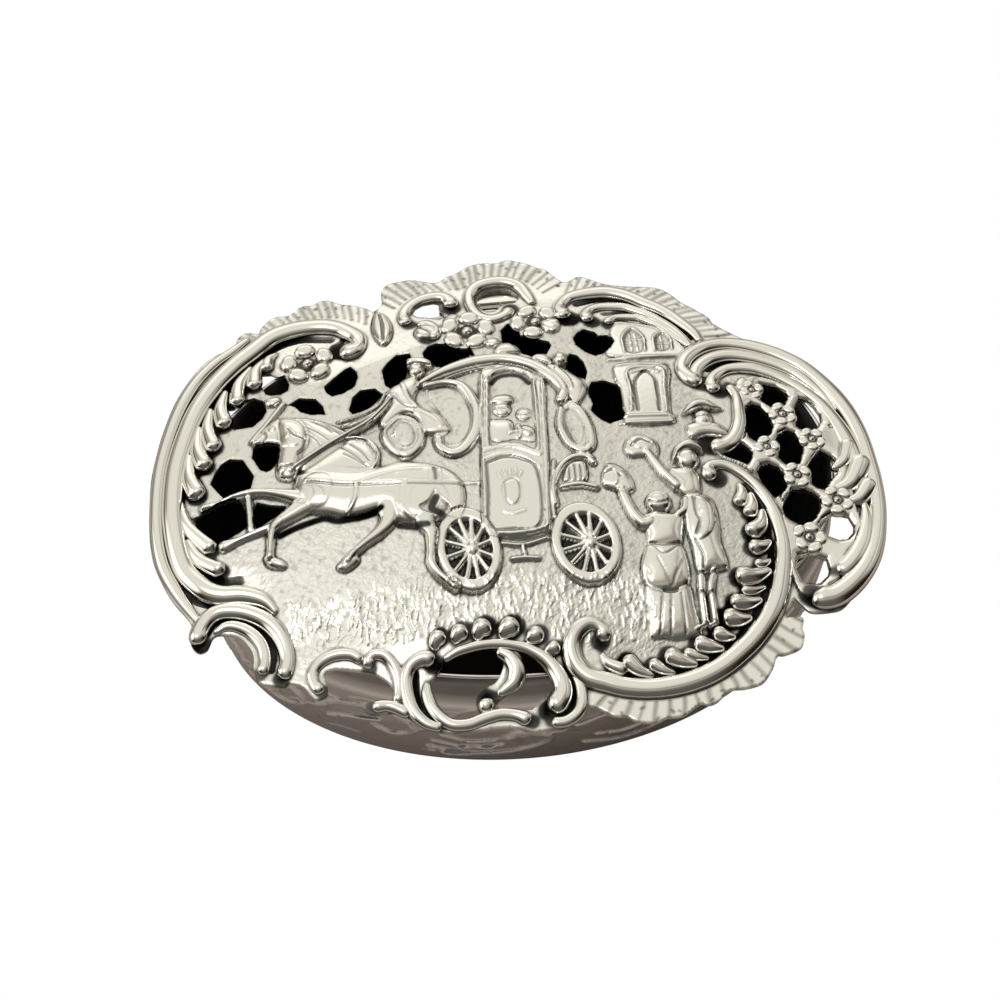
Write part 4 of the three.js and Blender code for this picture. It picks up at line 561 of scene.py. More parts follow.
# Fringes: how many flutes, then the run along their roots and the run along the edge
FRINGES = [
    (17, [(-60, 48.4), (-54, 51.6), (-48, 53.9), (-42, 54.4), (-36, 52.8), (-30.6, 49.6)], [(-63, 50.8),
        (-57, 54.2), (-50, 57.2), (-42, 60), (-36, 57.8), (-29.6, 55.6)]),
    (22, [(-25, 55), (-20, 59), (-13, 59.6), (-8, 60), (-3, 62.4), (3, 62.8), (8, 60.4), (11.4, 56)],
        [(-28.4, 58), (-24, 64), (-15, 63), (-9, 65.4), (-2, 68.4), (5, 68.4), (12, 65), (17, 59.6)]),
    (20, [(17, 55.4), (24, 56.2), (30, 55.2), (36, 51.6), (41, 47.6), (45, 42.6), (48.4, 37.4)],
        [(19.4, 61), (26, 59), (34, 56.6), (40.6, 54.8), (45.4, 49.6), (50.4, 44.6), (55.6, 38.6)]),
    (17, [(12, -58.4), (18, -60.6), (26, -60.8), (33, -59.4), (40, -56.6), (46, -52), (51, -46.6),
        (54.6, -41.4)], [(9, -61.4), (16, -64.4), (23, -66.4), (32, -63.4), (40, -60), (48, -58.4),
        (54, -52), (59.4, -44.4)]),
]

# Deep, blackened channels beside the scrolls: half width, depth, run
CHANNELS = [
    (1.1, 0.5, [(-79.3, 24.4), (-82, 17.5), (-82.8, 11.7), (-84, 2), (-83.9, -4.3), (-83, -12),
        (-81.9, -15.5), (-79.8, -19.7), (-77.4, -22.9), (-74.5, -25.1), (-70, -26.4), (-65.6, -27)]),
    (1.1, 0.6, [(-41, 46.4), (-47.8, 47.6), (-53.1, 46.4), (-57.5, 43.6), (-61, 40.2), (-64.5, 37),
        (-68.4, 32.6), (-72.2, 26.5), (-74.4, 21.2), (-76.4, 14.6), (-78, 8.2), (-78.6, 1.5),
        (-78.2, -2.6), (-77.4, -8.4), (-76.6, -12.4), (-74.8, -15.8), (-72.6, -18.6), (-69.4, -20.8),
        (-65.8, -21.2)]),
    (0.9, 0.6, [(17, -53.6), (21.6, -54.4), (26.3, -54.4), (31, -53.4), (35.8, -51.8), (39.9, -49.4),
        (43.3, -46.5), (46.2, -43.8), (49, -39.6), (51.4, -35), (53, -30), (53.8, -25), (53.6, -19.6),
        (52.4, -14.4), (50, -9.6)]),
    (0.9, 0.7, [(-28.9, -48.9), (-29, -54), (-28.2, -57.2), (-26, -60), (-23, -61.8)]),
    (0.9, 0.6, [(4.4, -48.8), (4.9, -52), (5, -56), (4.2, -59.6), (2, -61.8)]),
    (0.9, 0.6, [(-73.9, -33), (-72.4, -30.8), (-69.5, -30.1), (-66.6, -30.9), (-63.9, -32.6),
        (-61.3, -35.6), (-59.5, -39.8), (-60.2, -44)]),
    (0.9, 0.6, [(19, 51), (24, 52.2), (29.6, 51.2), (33.6, 49), (37.6, 45.8), (41.4, 41.8), (44.6, 37)]),
    (0.6, 0.5, [(25, 46.6), (29, 47), (33.4, 46), (37, 43.2), (40.4, 39.2)]),
    (0.8, 0.6, [(45, 28), (48.6, 31.1), (54, 32.4), (59.6, 31.7), (64, 29.6), (67.8, 27), (71, 23),
        (74.2, 18.4), (76.2, 13.4)]),
    (0.8, 0.6, [(47, 25.6), (50, 27.7), (55, 28.2), (60, 27.2), (64.6, 25.3), (68.4, 22), (71.6, 18),
        (74, 13)]),
    (0.8, 0.6, [(79, -13.3), (78.7, -18), (77.4, -22.8), (75.2, -27.4), (72.4, -31.2), (69.4, -34),
        (66, -35.6)]),
    (0.8, 0.5, [(-37.6, 46.6), (-38.6, 44.6), (-40.4, 43.6)]),
]

# Mm of the body's embossing for one radian round
BODY_ARC = 64

# The look of the body's embossing: runs of arc length along the front and height, seen from in front
BODY_WORK = [
    ("ridge", 1.1, 1.1, [(-46, 18), (-41, 23), (-33, 25), (-26, 22), (-25, 17), (-29, 14), (-33, 16)]),
    ("ridge", 1, 0.8, [(-44, 14), (-38, 18), (-32, 20)]),
    ("ridge", 1.1, 1, [(-22, 9), (-14, 6), (-4, 8), (2, 13), (1, 18), (-4, 19), (-6, 15)]),
    ("ridge", 0.9, 0.7, [(-21, 13), (-14, 10), (-7, 12)]),
    ("ridge", 0.9, 0.7, [(-19, 17), (-14, 14), (-9, 15)]),
    ("ridge", 1.1, 1.1, [(8, 20), (16, 23), (25, 22), (33, 17), (37, 11)]),
    ("ridge", 1.1, 0.9, [(10, 8), (18, 5), (27, 8), (31, 13), (28, 17), (24, 15)]),
    ("ridge", 0.9, 0.7, [(12, 12), (18, 10), (23, 12)]),
    ("ridge", 0.9, 0.7, [(38, 20), (42, 15), (42, 9)]),
    ("ridge", 1.1, 1, [(44, 21), (52, 24), (60, 21), (64, 14), (60, 9), (56, 11)]),
    ("ridge", 1.1, 1, [(-68, 11), (-60, 8), (-53, 11), (-50, 17), (-54, 21), (-58, 18)]),
    ("ridge", 0.9, 0.8, [(-84, 21), (-77, 24), (-70, 21), (-67, 15)]),
    ("dot", 1, 0, (-60, 13, 2.4, 2)),
    ("ridge", 0.9, 0.8, [(72, 9), (80, 12), (86, 18), (84, 23)]),
    ("dot", 1, 0, (54, 15, 2.4, 2)),
]

# The punched ground behind the scene, and the pierced lattice
GROUND = [
    (-76, -14), (-62, -20), (-60, -41.5), (-46, -43), (-24, -41.5), (4, -44), (16, -50), (34, -47),
    (44, -38), (49, -20), (45, -6), (41, 4), (45, 14), (40, 20), (38, 30), (24, 42), (0, 44), (-24, 38),
    (-46, 31), (-60, 40), (-72, 20), (-76, 4),
]
LATTICE = [
    (54.6, 21.4), (60, 22.4), (66, 19.4), (71, 16.4), (74, 9), (76, -1), (75.4, -12), (75.4, -22),
    (71, -27), (66.6, -36), (58.6, -36.6), (57.6, -20), (58, -12), (52, -5.4), (45, -1), (45.4, 1.4),
    (52.4, 4), (52, 11),
]

# The studio's dome: its brightest direction and its tones from the far side to there
DOME_TOP = (-0.13, 0.45, 0.883)
DOME_TONES = [
    (0.42, "#15100d"), (0.62, "#2c241e"), (0.73, "#665d54"), (0.8, "#b0aaa0"), (0.85, "#8f877d"),
    (0.89, "#d8d4ca"), (0.97, "#e9e6dc"),
]
# Softboxes: direction, cosine where each begins, cosine where it is full, strength
SOFTBOXES = [
    ((-0.3, 0.0, 0.95), 0.95, 0.98, 0.5),
    ((-0.9, 0.15, 0.4), 0.88, 0.95, 1.0),
    ((0.85, 0.35, 0.4), 0.9, 0.96, 0.35),
    ((0.0, 1.0, 0.2), 0.8, 0.95, 0.55),
    ((0.0, -0.92, 0.4), 0.5, 0.9, 0.09),
]
BOX_TINT = (1.0, 0.985, 0.93)


def lid_surface(x, y):
    """Height of the lid's upper surface before the chasing."""
    reach = ((x + LID_SHIFT[0]) / MOUTH_X) ** 2 + ((y + LID_SHIFT[1]) / MOUTH_Y) ** 2
    beyond = np.maximum(reach - 1, 0)
    inside = DOME * np.maximum(1 - reach, 0)
    return LID_Z + inside - DOME * beyond / (1 + FLATTEN * beyond)


def smooth(points, closed=False, step=0.6):
    """A smooth run through given points; further columns such as widths follow it."""
    p = np.array(points, float)
    if len(p) < 3 and not closed:
        n = max(2, int(np.linalg.norm((p[-1] - p[0])[:2]) / step))
        return p[0] + (p[-1] - p[0]) * np.linspace(0, 1, n + 1)[:, None]
    lead, tail = (p[-1:], p[:2]) if closed else (2 * p[:1] - p[1:2], 2 * p[-1:] - p[-2:-1])
    ext = np.vstack([lead, p, tail])
    out = []
    for a, b, c, d in zip(ext, ext[1:], ext[2:], ext[3:]):
        n = max(2, int(np.linalg.norm((c - b)[:2]) / step))
        t = (np.arange(n) / n)[:, None]
        bend, twist = 2 * a - 5 * b + 4 * c - d, 3 * b - a - 3 * c + d
        out.append(0.5 * (2 * b + (c - a) * t + bend * t**2 + twist * t**3))
    if not closed:
        out.append(p[-1:])
    return np.vstack(out)


def soften(field, cells):
    """A field of heights, spread over about that many cells each way."""
    n = max(1, int(round(cells)))
    for _ in range(2):
        for axis in (0, 1):
            pad = [(0, 0), (0, 0)]
            pad[axis] = (n + 1, n)
            total = np.cumsum(np.pad(field, pad, mode="edge"), axis=axis)
            length = field.shape[axis]
            high = np.take(total, range(2 * n + 1, 2 * n + 1 + length), axis=axis)
            low = np.take(total, range(0, length), axis=axis)
            field = (high - low) / (2 * n + 1)
    return field


def between(field, column, row):
    """A field's values at places between its points."""
    i, j = np.clip(column, 0, field.shape[1] - 1.001), np.clip(row, 0, field.shape[0] - 1.001)
    a, b = i.astype(int), j.astype(int)
    u, v = i - a, j - b
    near = (1 - u) * field[b, a] + u * field[b, a + 1]
    far = (1 - u) * field[b + 1, a] + u * field[b + 1, a + 1]
    return (1 - v) * near + v * far


class Relief:
    """Heights over a flat map, worked with a chaser's few moves."""

    def __init__(self, x0, x1, y0, y1, step):
        self.step = step
        self.x0, self.y0 = x0, y0
        self.X, self.Y = np.meshgrid(np.arange(x0, x1 + step, step), np.arange(y0, y1 + step, step))
        self.h = np.zeros_like(self.X)
        self.matt = np.zeros_like(self.X)
        self.dark = np.zeros_like(self.X)
        self.cover = np.zeros_like(self.X)
        # Polishing has worn the oxide away unevenly, in patches about 3 mm wide
        noise = soften(np.random.default_rng(2).standard_normal(self.X.shape), 1.5 / step)
        self.wear = np.clip(0.6 + 0.32 * noise / noise.std(), 0.15, 1)

    def window(self, run, pad):
        """The part of the map that holds a run and this much round it."""
        lo = (np.min(run[:, :2], axis=0) - pad - (self.x0, self.y0)) / self.step
        hi = (np.max(run[:, :2], axis=0) + pad - (self.x0, self.y0)) / self.step
        ny, nx = self.X.shape
        i0, i1 = int(np.clip(lo[0], 0, nx)), int(np.clip(hi[0] + 2, 0, nx))
        j0, j1 = int(np.clip(lo[1], 0, ny)), int(np.clip(hi[1] + 2, 0, ny))
        return slice(j0, j1), slice(i0, i1)

    def distance(self, run, reach, closed=False):
        """How far each point of the map is from a run, up to a reach, and its share along the run."""
        best = np.full(self.X.shape, float(reach))
        share = np.zeros(self.X.shape)
        a, b = (run, np.roll(run, -1, 0)) if closed else (run[:-1], run[1:])
        count = len(a)
        for k in range(count):
            p, q = a[k, :2], b[k, :2]
            s = self.window(np.array([p, q]), reach)
            dx, dy = q - p
            length = dx * dx + dy * dy
            if length == 0:
                continue
            x, y = self.X[s] - p[0], self.Y[s] - p[1]
            t = np.clip((x * dx + y * dy) / length, 0, 1)
            d = np.hypot(x - t * dx, y - t * dy)
            near = d < best[s]
            best[s] = np.where(near, d, best[s])
            share[s] = np.where(near, (k + t) / count, share[s])
        return best, share

    def inside(self, run):
        """Which points of the map lie within a closed run."""
        odd = np.zeros(self.X.shape, bool)
        s = self.window(run, 0)
        x, y = self.X[s], self.Y[s]
        part = np.zeros(x.shape, bool)
        for (ax, ay), (bx, by) in zip(run[:, :2], np.roll(run, -1, 0)[:, :2]):
            if ay != by:
                part ^= ((ay > y) != (by > y)) & (x < (bx - ax) * (y - ay) / (by - ay) + ax)
        odd[s] = part
        return odd

    def outline(self, outside, strength=0.9, width=0.34):
        """Blackens a thin line along a raised shape's foot, less on high forms.

        outside is how far each point is from the shape, and less than nothing on it.
        """
        line = self.wear * strength * np.clip(1.25 - np.abs(outside - 0.1) / width, 0, 1)
        line *= np.clip(1.2 - self.h / 1.4, 0.3, 1)
        self.dark = np.where(outside < 0, np.minimum(self.dark, line), np.maximum(self.dark, line))

    def mound(self, height, edge, points, adds=False, sinks=False):
        """A closed outline that swells over its edge, or that is sunk."""
        run = smooth(points, True)
        d, _ = self.distance(run, (edge or 5) + self.step, True)
        within = self.inside(run)
        # An edge of 0 rounds the shape all the way to its middle
        edge = edge or (d * within).max()
        t = np.clip(d / edge, 0, 1)
        value = height * np.sqrt(1 - (1 - t) ** 2) * within
        # The crease along the middle is softened, the foot stays crisp
        value += t * within * (soften(value, 0.4 * edge / self.step) - value)
        if sinks:
            self.h -= value
            self.matt = np.where(within, MATT_SUNK, self.matt)
            self.outline(d, strength=0.6, width=0.32)
        elif adds:
            self.h += value
        else:
            self.h = np.maximum(self.h, value)
            self.matt = np.where(within, MATT_RAISED, self.matt)
            self.outline(np.where(within, -d, d))

    def line(self, height, width, points, adds=False, sinks=False):
        """A raised or sunk line of one half width."""
        run = smooth(points)
        d, _ = self.distance(run, width + 0.8)
        value = height * bump_over(d, width)
        if sinks:
            self.h -= value
            # The deeper the groove, the blacker it is
            black = min(0.6, 1.6 * height)
            self.dark = np.maximum(self.dark, black * np.clip(1.2 - d / width, 0, 1))
        elif adds:
            self.h += value
            self.outline(d - width, strength=0.45, width=0.28)
        else:
            self.h = np.maximum(self.h, value)
            self.outline(d - width, strength=0.8, width=0.32)
        if not sinks:
            self.matt = np.where(d < width, MATT_RAISED, self.matt)

    def limb(self, height, points):
        """A rounded bar whose half width follows the third number of its points."""
        run = smooth(points)
        d, share = self.distance(run, run[:, 2].max() + 0.8)
        width = np.interp(share, np.linspace(0, 1, len(run)), run[:, 2])
        self.h = np.maximum(self.h, height * bump_over(d, width))
        self.matt = np.where(d < width, MATT_RAISED, self.matt)
        self.outline(d - width)

    def shade(self, strength, width, points):
        """Blackens a run: oxide strokes, or painted shade along the foot of a form."""
        d, _ = self.distance(smooth(points), width + 0.4)
        self.dark = np.maximum(self.dark, strength * np.clip((width + 0.3 - d) / 0.5, 0, 1))

    def dot(self, height, x, y, rx, ry, adds=False):
        """A raised oval of these half sizes."""
        r = np.hypot((self.X - x) / rx, (self.Y - y) / ry)
        value = height * bump_over(r, 1)
        self.h = self.h + value if adds else np.maximum(self.h, value)
        self.matt = np.where(r < 1, MATT_RAISED, self.matt)
        self.outline((r - 1) * min(rx, ry), strength=0.5 if adds else 0.9, width=0.3)

    def work(self, steps):
        """Works a table of steps in its order."""
        for kind, height, size, points in steps:
            adds = kind.startswith("on_")
            move = kind.removeprefix("on_")
            if move == "mound":
                self.mound(height, size, points, adds)
            elif move == "sink":
                self.mound(height, size, points, sinks=True)
            elif move == "ridge":
                self.line(height, size, points, adds)
            elif move == "groove":
                self.line(height, size, points, sinks=True)
            elif move == "limb":
                self.limb(height, points)
            elif move == "shade":
                self.shade(height, size, points)
            else:
                self.dot(height, *points, adds)

    def grain(self, seed, size, amount, where):
        """An uneven matt ground, as left by a small punch."""
        noise = np.random.default_rng(seed).standard_normal(self.X.shape)
        field = soften(noise, size / self.step / 2)
        self.h += amount * field / field.std() * where


def srgb(code):
    """A colour given as a hex code, in linear light."""
    parts = [int(code[k : k + 2], 16) / 255 for k in (1, 3, 5)]
    return [c / 12.92 if c <= 0.04045 else ((c + 0.055) / 1.055) ** 2.4 for c in parts] + [1.0]


def add_node(tree, kind, inputs=None, **settings):
    """One node with its settings and inputs; an input gets a value, or a link where a socket is given."""
    node = tree.nodes.new(kind)
    for key, value in settings.items():
        setattr(node, key, value)
    for key, value in (inputs or {}).items():
        if isinstance(value, bpy.types.NodeSocket):
            tree.links.new(value, node.inputs[key])
        else:
            node.inputs[key].default_value = value
    return node


def empty_tree(owner):
    """The node tree of a material or a world, emptied."""
    owner.use_nodes = True
    owner.node_tree.nodes.clear()
    return owner.node_tree


def metal(name, bright, deep, polish, matt, grain):
    """Silver, polished on the high parts, matted where the matt attribute is set and black where
    tarnish_and_shade is, which holds oxide and painted shade.
    """
    material = bpy.data.materials.new(name)
    tree = empty_tree(material)
    tarnish_and_shade = add_node(tree, "ShaderNodeAttribute", attribute_name="tarnish_and_shade").outputs["Fac"]
    matted = add_node(tree, "ShaderNodeAttribute", attribute_name="matt").outputs["Fac"]
    place = add_node(tree, "ShaderNodeTexCoord").outputs["Object"]
    # Clouds of tarnish about 11 mm wide, and a grain of about 0.7 mm that is up to 0.12 mm deep
    cloud = add_node(tree, "ShaderNodeTexNoise", {"Vector": place, "Scale": 90.0, "Detail": 3.0})
    grit = {"Vector": place, "Scale": 1500.0, "Detail": 3.0, "Roughness": 0.6}
    fine = add_node(tree, "ShaderNodeTexNoise", grit)
    # Oxide and painted shade gather a little unevenly, and are rough themselves
    uneven = add_node(tree, "ShaderNodeMath", {0: cloud.outputs["Fac"], 1: 0.5}, operation="SUBTRACT")
    spread = add_node(tree, "ShaderNodeMath", {0: uneven.outputs[0], 1: 0.35}, operation="MULTIPLY")
    share = add_node(tree, "ShaderNodeMath", {0: spread.outputs[0], 1: tarnish_and_shade}, operation="MULTIPLY")
    sides = {0: tarnish_and_shade, 1: share.outputs[0]}
    total = add_node(tree, "ShaderNodeMath", sides, operation="ADD", use_clamp=True).outputs[0]
    blend = {"Factor": total, 6: bright, 7: srgb(deep)}
    colour = add_node(tree, "ShaderNodeMix", blend, data_type="RGBA")
    rough = add_node(tree, "ShaderNodeMapRange", {"Value": matted, "To Min": polish, "To Max": matt})
    oxide_and_shade = add_node(tree, "ShaderNodeMapRange", {"Value": total, "To Min": 0.0, "To Max": 0.3})
    sides = {0: rough.outputs["Result"], 1: oxide_and_shade.outputs["Result"]}
    roughness = add_node(tree, "ShaderNodeMath", sides, operation="ADD", use_clamp=True)
    strength = add_node(tree, "ShaderNodeMapRange", {"Value": matted, "To Min": 0.02, "To Max": grain})
    relief = {"Strength": strength.outputs["Result"], "Height": fine.outputs["Fac"], "Distance": 0.00012}
    bump = add_node(tree, "ShaderNodeBump", relief)
    surface = {"Metallic": 1.0, "Base Color": colour.outputs[2], "Roughness": roughness.outputs[0],
               "Normal": bump.outputs["Normal"]}
    shader = add_node(tree, "ShaderNodeBsdfPrincipled", surface)
    add_node(tree, "ShaderNodeOutputMaterial", {"Surface": shader.outputs["BSDF"]})
    return material


def look(name):
    """The materials, each made once."""
    if name in bpy.data.materials:
        return bpy.data.materials[name]
    scene = bpy.context.scene
    if name == "chased_silver":
        # polished sterling silver, matted ground, recesses blackened by oxide, and painted shade in the
        # same black
        return metal(name, scene.silverbox_lid.silver, "#100e0d", polish=0.11, matt=0.42, grain=1.0)
    if name == "body_silver":
        # the body's silver, polished over a light tarnishing; its dark colour also paints the shade on the
        # collar
        return metal(name, scene.silverbox_body.silver, "#2a2324", polish=0.24, matt=0.4, grain=0.4)
    # tarnished silver inside the box, dark as painted shade too
    return metal(name, srgb("#4a3f31"), "#0b0908", polish=0.4, matt=0.6, grain=0.3)


def new_piece(name, verts, faces, material, tarnish_and_shade=None, matt=None, loop_normals=None, shift=(0, 0)):
    """A closed, smooth-shaded mesh from points in millimetres."""
    mesh = bpy.data.meshes.new(name)
    points = (np.asarray(verts) + (*shift, 0)) * MM
    mesh.from_pydata(points.tolist(), [], faces if isinstance(faces, list) else faces.tolist())
    mesh.shade_smooth()
    for key, values in (("tarnish_and_shade", tarnish_and_shade), ("matt", matt)):
        layer = mesh.attributes.new(key, "FLOAT", "POINT")
        filled = np.zeros(len(mesh.vertices)) if values is None else values
        layer.data.foreach_set("value", np.asarray(filled, np.float32))
    if loop_normals is not None:
        mesh.normals_split_custom_set(loop_normals.tolist())
    mesh.validate()
    mesh.materials.append(look(material))
    piece = bpy.data.objects.new(name, mesh)
    bpy.context.scene.collection.objects.link(piece)
    return piece


def loft(spine, lift=0.85, sides=14, sink=0.5):
    """A rounded bar sunk a little in the lid, with round ends: its points, faces, and oxide with painted
    shade.

    spine holds x, y and half width; lift is the height over the half width, and sink is in mm.
    """
    run = smooth(spine, step=0.45)
    travelled = np.concatenate([[0], np.cumsum(np.hypot(*np.diff(run[:, :2], axis=0).T))])
    left = travelled[-1] - travelled
    ends = np.ones(len(run))
    for gone, width in ((travelled, run[0, 2]), (left, run[-1, 2])):
        t = np.clip(gone / max(width, 0.3), 0, 1)
        ends *= np.sqrt(np.clip(1 - (1 - t) ** 2, 0.01, 1))
    width = run[:, 2] * ends
    way = np.gradient(run[:, :2], axis=0)
    way /= np.linalg.norm(way, axis=1)[:, None] + 1e-9
    side = np.stack([way[:, 1], -way[:, 0]], 1)
    # Half a round above the sheet, then the two lower corners inside it
    turn = np.linspace(0, math.pi, sides)
    across = np.concatenate([np.cos(turn), [-0.9, 0.9]])
    rise = np.concatenate([np.sin(turn) * lift, [0, 0]])
    sunk = np.concatenate([np.zeros(sides), [sink, sink]])
    # Oxide at the foot of the flanks, and painted shade up the lower flanks
    shade = np.concatenate([np.clip(0.95 - 2.1 * np.sin(turn), 0, 1), [0.5, 0.5]])
    xy = run[:, None, :2] + across[None, :, None] * width[:, None, None] * side[:, None, :]
    z = lid_surface(xy[..., 0], xy[..., 1]) + rise[None] * width[:, None] - sunk[None]
    points = np.concatenate([xy, z[..., None]], -1).reshape(-1, 3)
    n = sides + 2
    k = np.arange(len(run) - 1)[:, None] * n
    j = np.arange(n)[None]
    faces = np.stack([k + j, k + (j + 1) % n, k + n + (j + 1) % n, k + n + j], -1).reshape(-1, 4).tolist()
    last = (len(run) - 1) * n
    faces.append(list(range(n))[::-1])
    faces.append(list(range(last, last + n)))
    return points, faces, np.tile(shade, len(run))


def petal(x, y, radius, height, turn):
    """A broad, flattened ball with a dented top, half sunk in the lid: its points, faces, and painted shade
    on its lower half.
    """
    rows, columns = 12, 20
    broad, dent, sink = 1.3, 0.24, 0.5
    points, faces, shade = [(0, 0, 1 - dent)], [], [0]
    for r in range(1, rows):
        for c in range(columns):
            a, b = math.pi * r / rows, 2 * math.pi * c / columns
            hollow = dent * math.exp(-((math.sin(a) / 0.5) ** 2)) * (a < 1.5)
            points.append((math.sin(a) * math.cos(b), math.sin(a) * math.sin(b), math.cos(a) - hollow))
            # Painted shade darkens the lower half of the petal
            shade.append(float(np.clip(0.5 - 2.2 * math.cos(a), 0, 1)))
    points.append((0, 0, -1))
    shade.append(1)
    end = len(points) - 1
    for c in range(columns):
        d = (c + 1) % columns
        faces.append([0, 1 + c, 1 + d])
        faces.append([end, end - columns + d, end - columns + c])
        for r in range(rows - 2):
            p = 1 + r * columns
            faces.append([p + c, p + columns + c, p + columns + d, p + d])
    shaped = np.array(points) * (radius, broad * radius, height)
    shaped[:, 2] = np.maximum(shaped[:, 2], shaped[:, 2] * sink / height)
    along, across = np.array([(math.cos(turn), math.sin(turn)), (-math.sin(turn), math.cos(turn))])
    shaped[:, :2] = shaped[:, :1] * along + shaped[:, 1:2] * across
    return shaped + (x, y, float(lid_surface(x, y))), faces, shade


def gather(parts):
    """Several closed bodies as one set of points, faces, and oxide with painted shade."""
    verts, faces, shade, count = [], [], [], 0
    for points, polygons, dark in parts:
        verts.append(points)
        faces += [[count + k for k in face] for face in polygons]
        shade.append(dark)
        count += len(points)
    return np.vstack(verts), faces, np.concatenate(shade)


def bump_over(distance, width):
    """A round of height 1 over a line or point, from the distance to it."""
    return np.sqrt(np.clip(1 - (distance / width) ** 2, 0, 1))


def cut_lid(lid):
    """How far each point is within the lid's edge and outside its openings."""
    # Further from an edge than this, the distance doesn't matter
    reach = 4
    edge = smooth(EDGE, True, 0.5)
    near, _ = lid.distance(edge, reach, True)
    cut = np.where(lid.inside(edge), near, -near)
    for hole in HOLES:
        # The large opening at the front is cut along a curve, the others have short straight sides
        run = smooth(hole, True, 0.5) if len(hole) > 20 else np.array(hole, float)
        near, _ = lid.distance(run, reach, True)
        cut = np.minimum(cut, np.where(lid.inside(run), -near, near))
    return cut


def chase_lid(step):
    """The whole map of the lid: heights, matting, oxide with painted shade, and the cut outline."""
    lid = Relief(x0=-87.5, x1=84.5, y0=-67.5, y1=69.5, step=step)
    ground = lid.inside(smooth(GROUND, True)).astype(float)
    lid.matt = MATT_PLAIN + 0.6 * soften(ground, 2.2 / step)
    cut = cut_lid(lid)
    for number, (count, roots, tips) in enumerate(FRINGES):
        fringe(lid, number, count, smooth(roots), smooth(tips))
    # The lattice's straps are rounded over 2 mm
    lattice = lid.inside(smooth(LATTICE, True))
    strap = np.sqrt(1 - (1 - np.clip(cut / 2, 0, 1)) ** 2)
    lid.h = np.where(lattice, np.maximum(lid.h, 1.1 * strap), lid.h)
    lid.matt = np.where(lattice, MATT_STRAP, lid.matt)
    for steps in (HORSES, COACH, DRIVER, LADY, GENTLEMAN, HOUSE):
        lid.work(steps)
    for place in WHEELS:
        wheel(lid, *place)
    for place in FLOWERS:
        flower(lid, *place)
    lid.work(LEAVES)
    for width, depth, run in CHANNELS:
        near, _ = lid.distance(smooth(run), width + step)
        lid.h -= depth * bump_over(near, width)
        lid.dark = np.maximum(lid.dark, 0.7 * np.clip(1.1 - near / (0.7 * width), 0, 1))
    grass(lid)
    stipple(lid)
    # Cut edges are filed down a little
    lid.h -= 0.3 * np.clip(1 - cut / 0.45, 0, 1) ** 2
    footprints(lid)
    polish_lid(lid)
    return lid, cut


def polish_lid(lid):
    """Polishing rounds the relief and leaves oxide where something higher stands near."""
    lid.h = soften(lid.h, 1) * 0.18 + lid.h * 0.82
    # The highest forms are pressed under the height of the CAD lid
    room = TOP_Z - lid_surface(lid.X, lid.Y)
    lid.h /= (1 + (np.maximum(lid.h, 0) / room) ** 3) ** (1 / 3)
    # Oxide stays beside steps, within 0.45 mm, and in the hollows, within 1.4 mm
    whole = np.maximum(lid.h, lid.cover)
    close = soften(whole, 0.45 / lid.step) - lid.h
    wide = soften(whole, 1.4 / lid.step) - lid.h
    recess = 0.75 * np.clip((close - 0.1) / 0.5, 0, 1) + 0.42 * np.clip((wide - 0.5) / 1.4, 0, 1)
    lid.dark = 1 - (1 - np.clip(np.maximum(lid.dark, recess), 0, 1)) ** 1.5


def fringe(lid, number, count, root, tip):
    """A fluted border: shallow lobes with uneven dark strokes between them."""
    rng = np.random.default_rng(number + 3)
    zone = lid.inside(np.vstack([root, tip[::-1]]))
    lid.matt = np.where(zone, MATT_FRINGE, lid.matt)
    for k in range(count + 1):
        a = root[int(k / count * (len(root) - 1))]
        b = tip[int(k / count * (len(tip) - 1))]
        far, near = rng.uniform(0.75, 1), rng.uniform(0.1, 0.5)
        # The groove between two lobes, a finer one in it and a spot of oxide beside them
        middle = (a + b) / 2 + rng.uniform(-0.25, 0.25, 2)
        depth, width = rng.uniform(0.25, 0.6), rng.uniform(0.45, 0.9)
        lid.line(depth, width, [a, middle, b], sinks=True)
        depth, width = rng.uniform(0.2, 0.5), rng.uniform(0.22, 0.36)
        lid.line(depth, width, [a + (b - a) * near, a + (b - a) * far], sinks=True)
        spot = a + (b - a) * rng.uniform(0.3, 0.9) + rng.uniform(-0.8, 0.8, 2)
        width = rng.uniform(0.1, 0.4)
        lid.shade(0.9, width, [spot, spot + rng.uniform(-0.7, 0.7, 2)])
    lid.dark = np.where(zone, 0.65 * lid.dark, lid.dark)


def stipple(lid):
    """The matted ground: a fine, uneven surface with small punch marks, lightly darkened."""
    lid.grain(seed=11, size=0.7, amount=0.03, where=lid.matt)
    lid.grain(seed=12, size=3.5, amount=0.045, where=lid.matt)
    noise = soften(np.random.default_rng(13).standard_normal(lid.X.shape), 0.4 / lid.step)
    field = lid.matt > MATT_PUNCHED
    marks = np.clip(noise / noise.std() - 0.7, 0, 1.5) * field
    # A roughness of 0.035 mm, and marks 0.05 mm deep
    lid.h += 0.035 * np.random.default_rng(14).standard_normal(lid.X.shape) * field
    lid.h -= 0.05 * marks
    lid.dark = np.maximum(lid.dark, (0.08 + 0.08 * marks) * field)


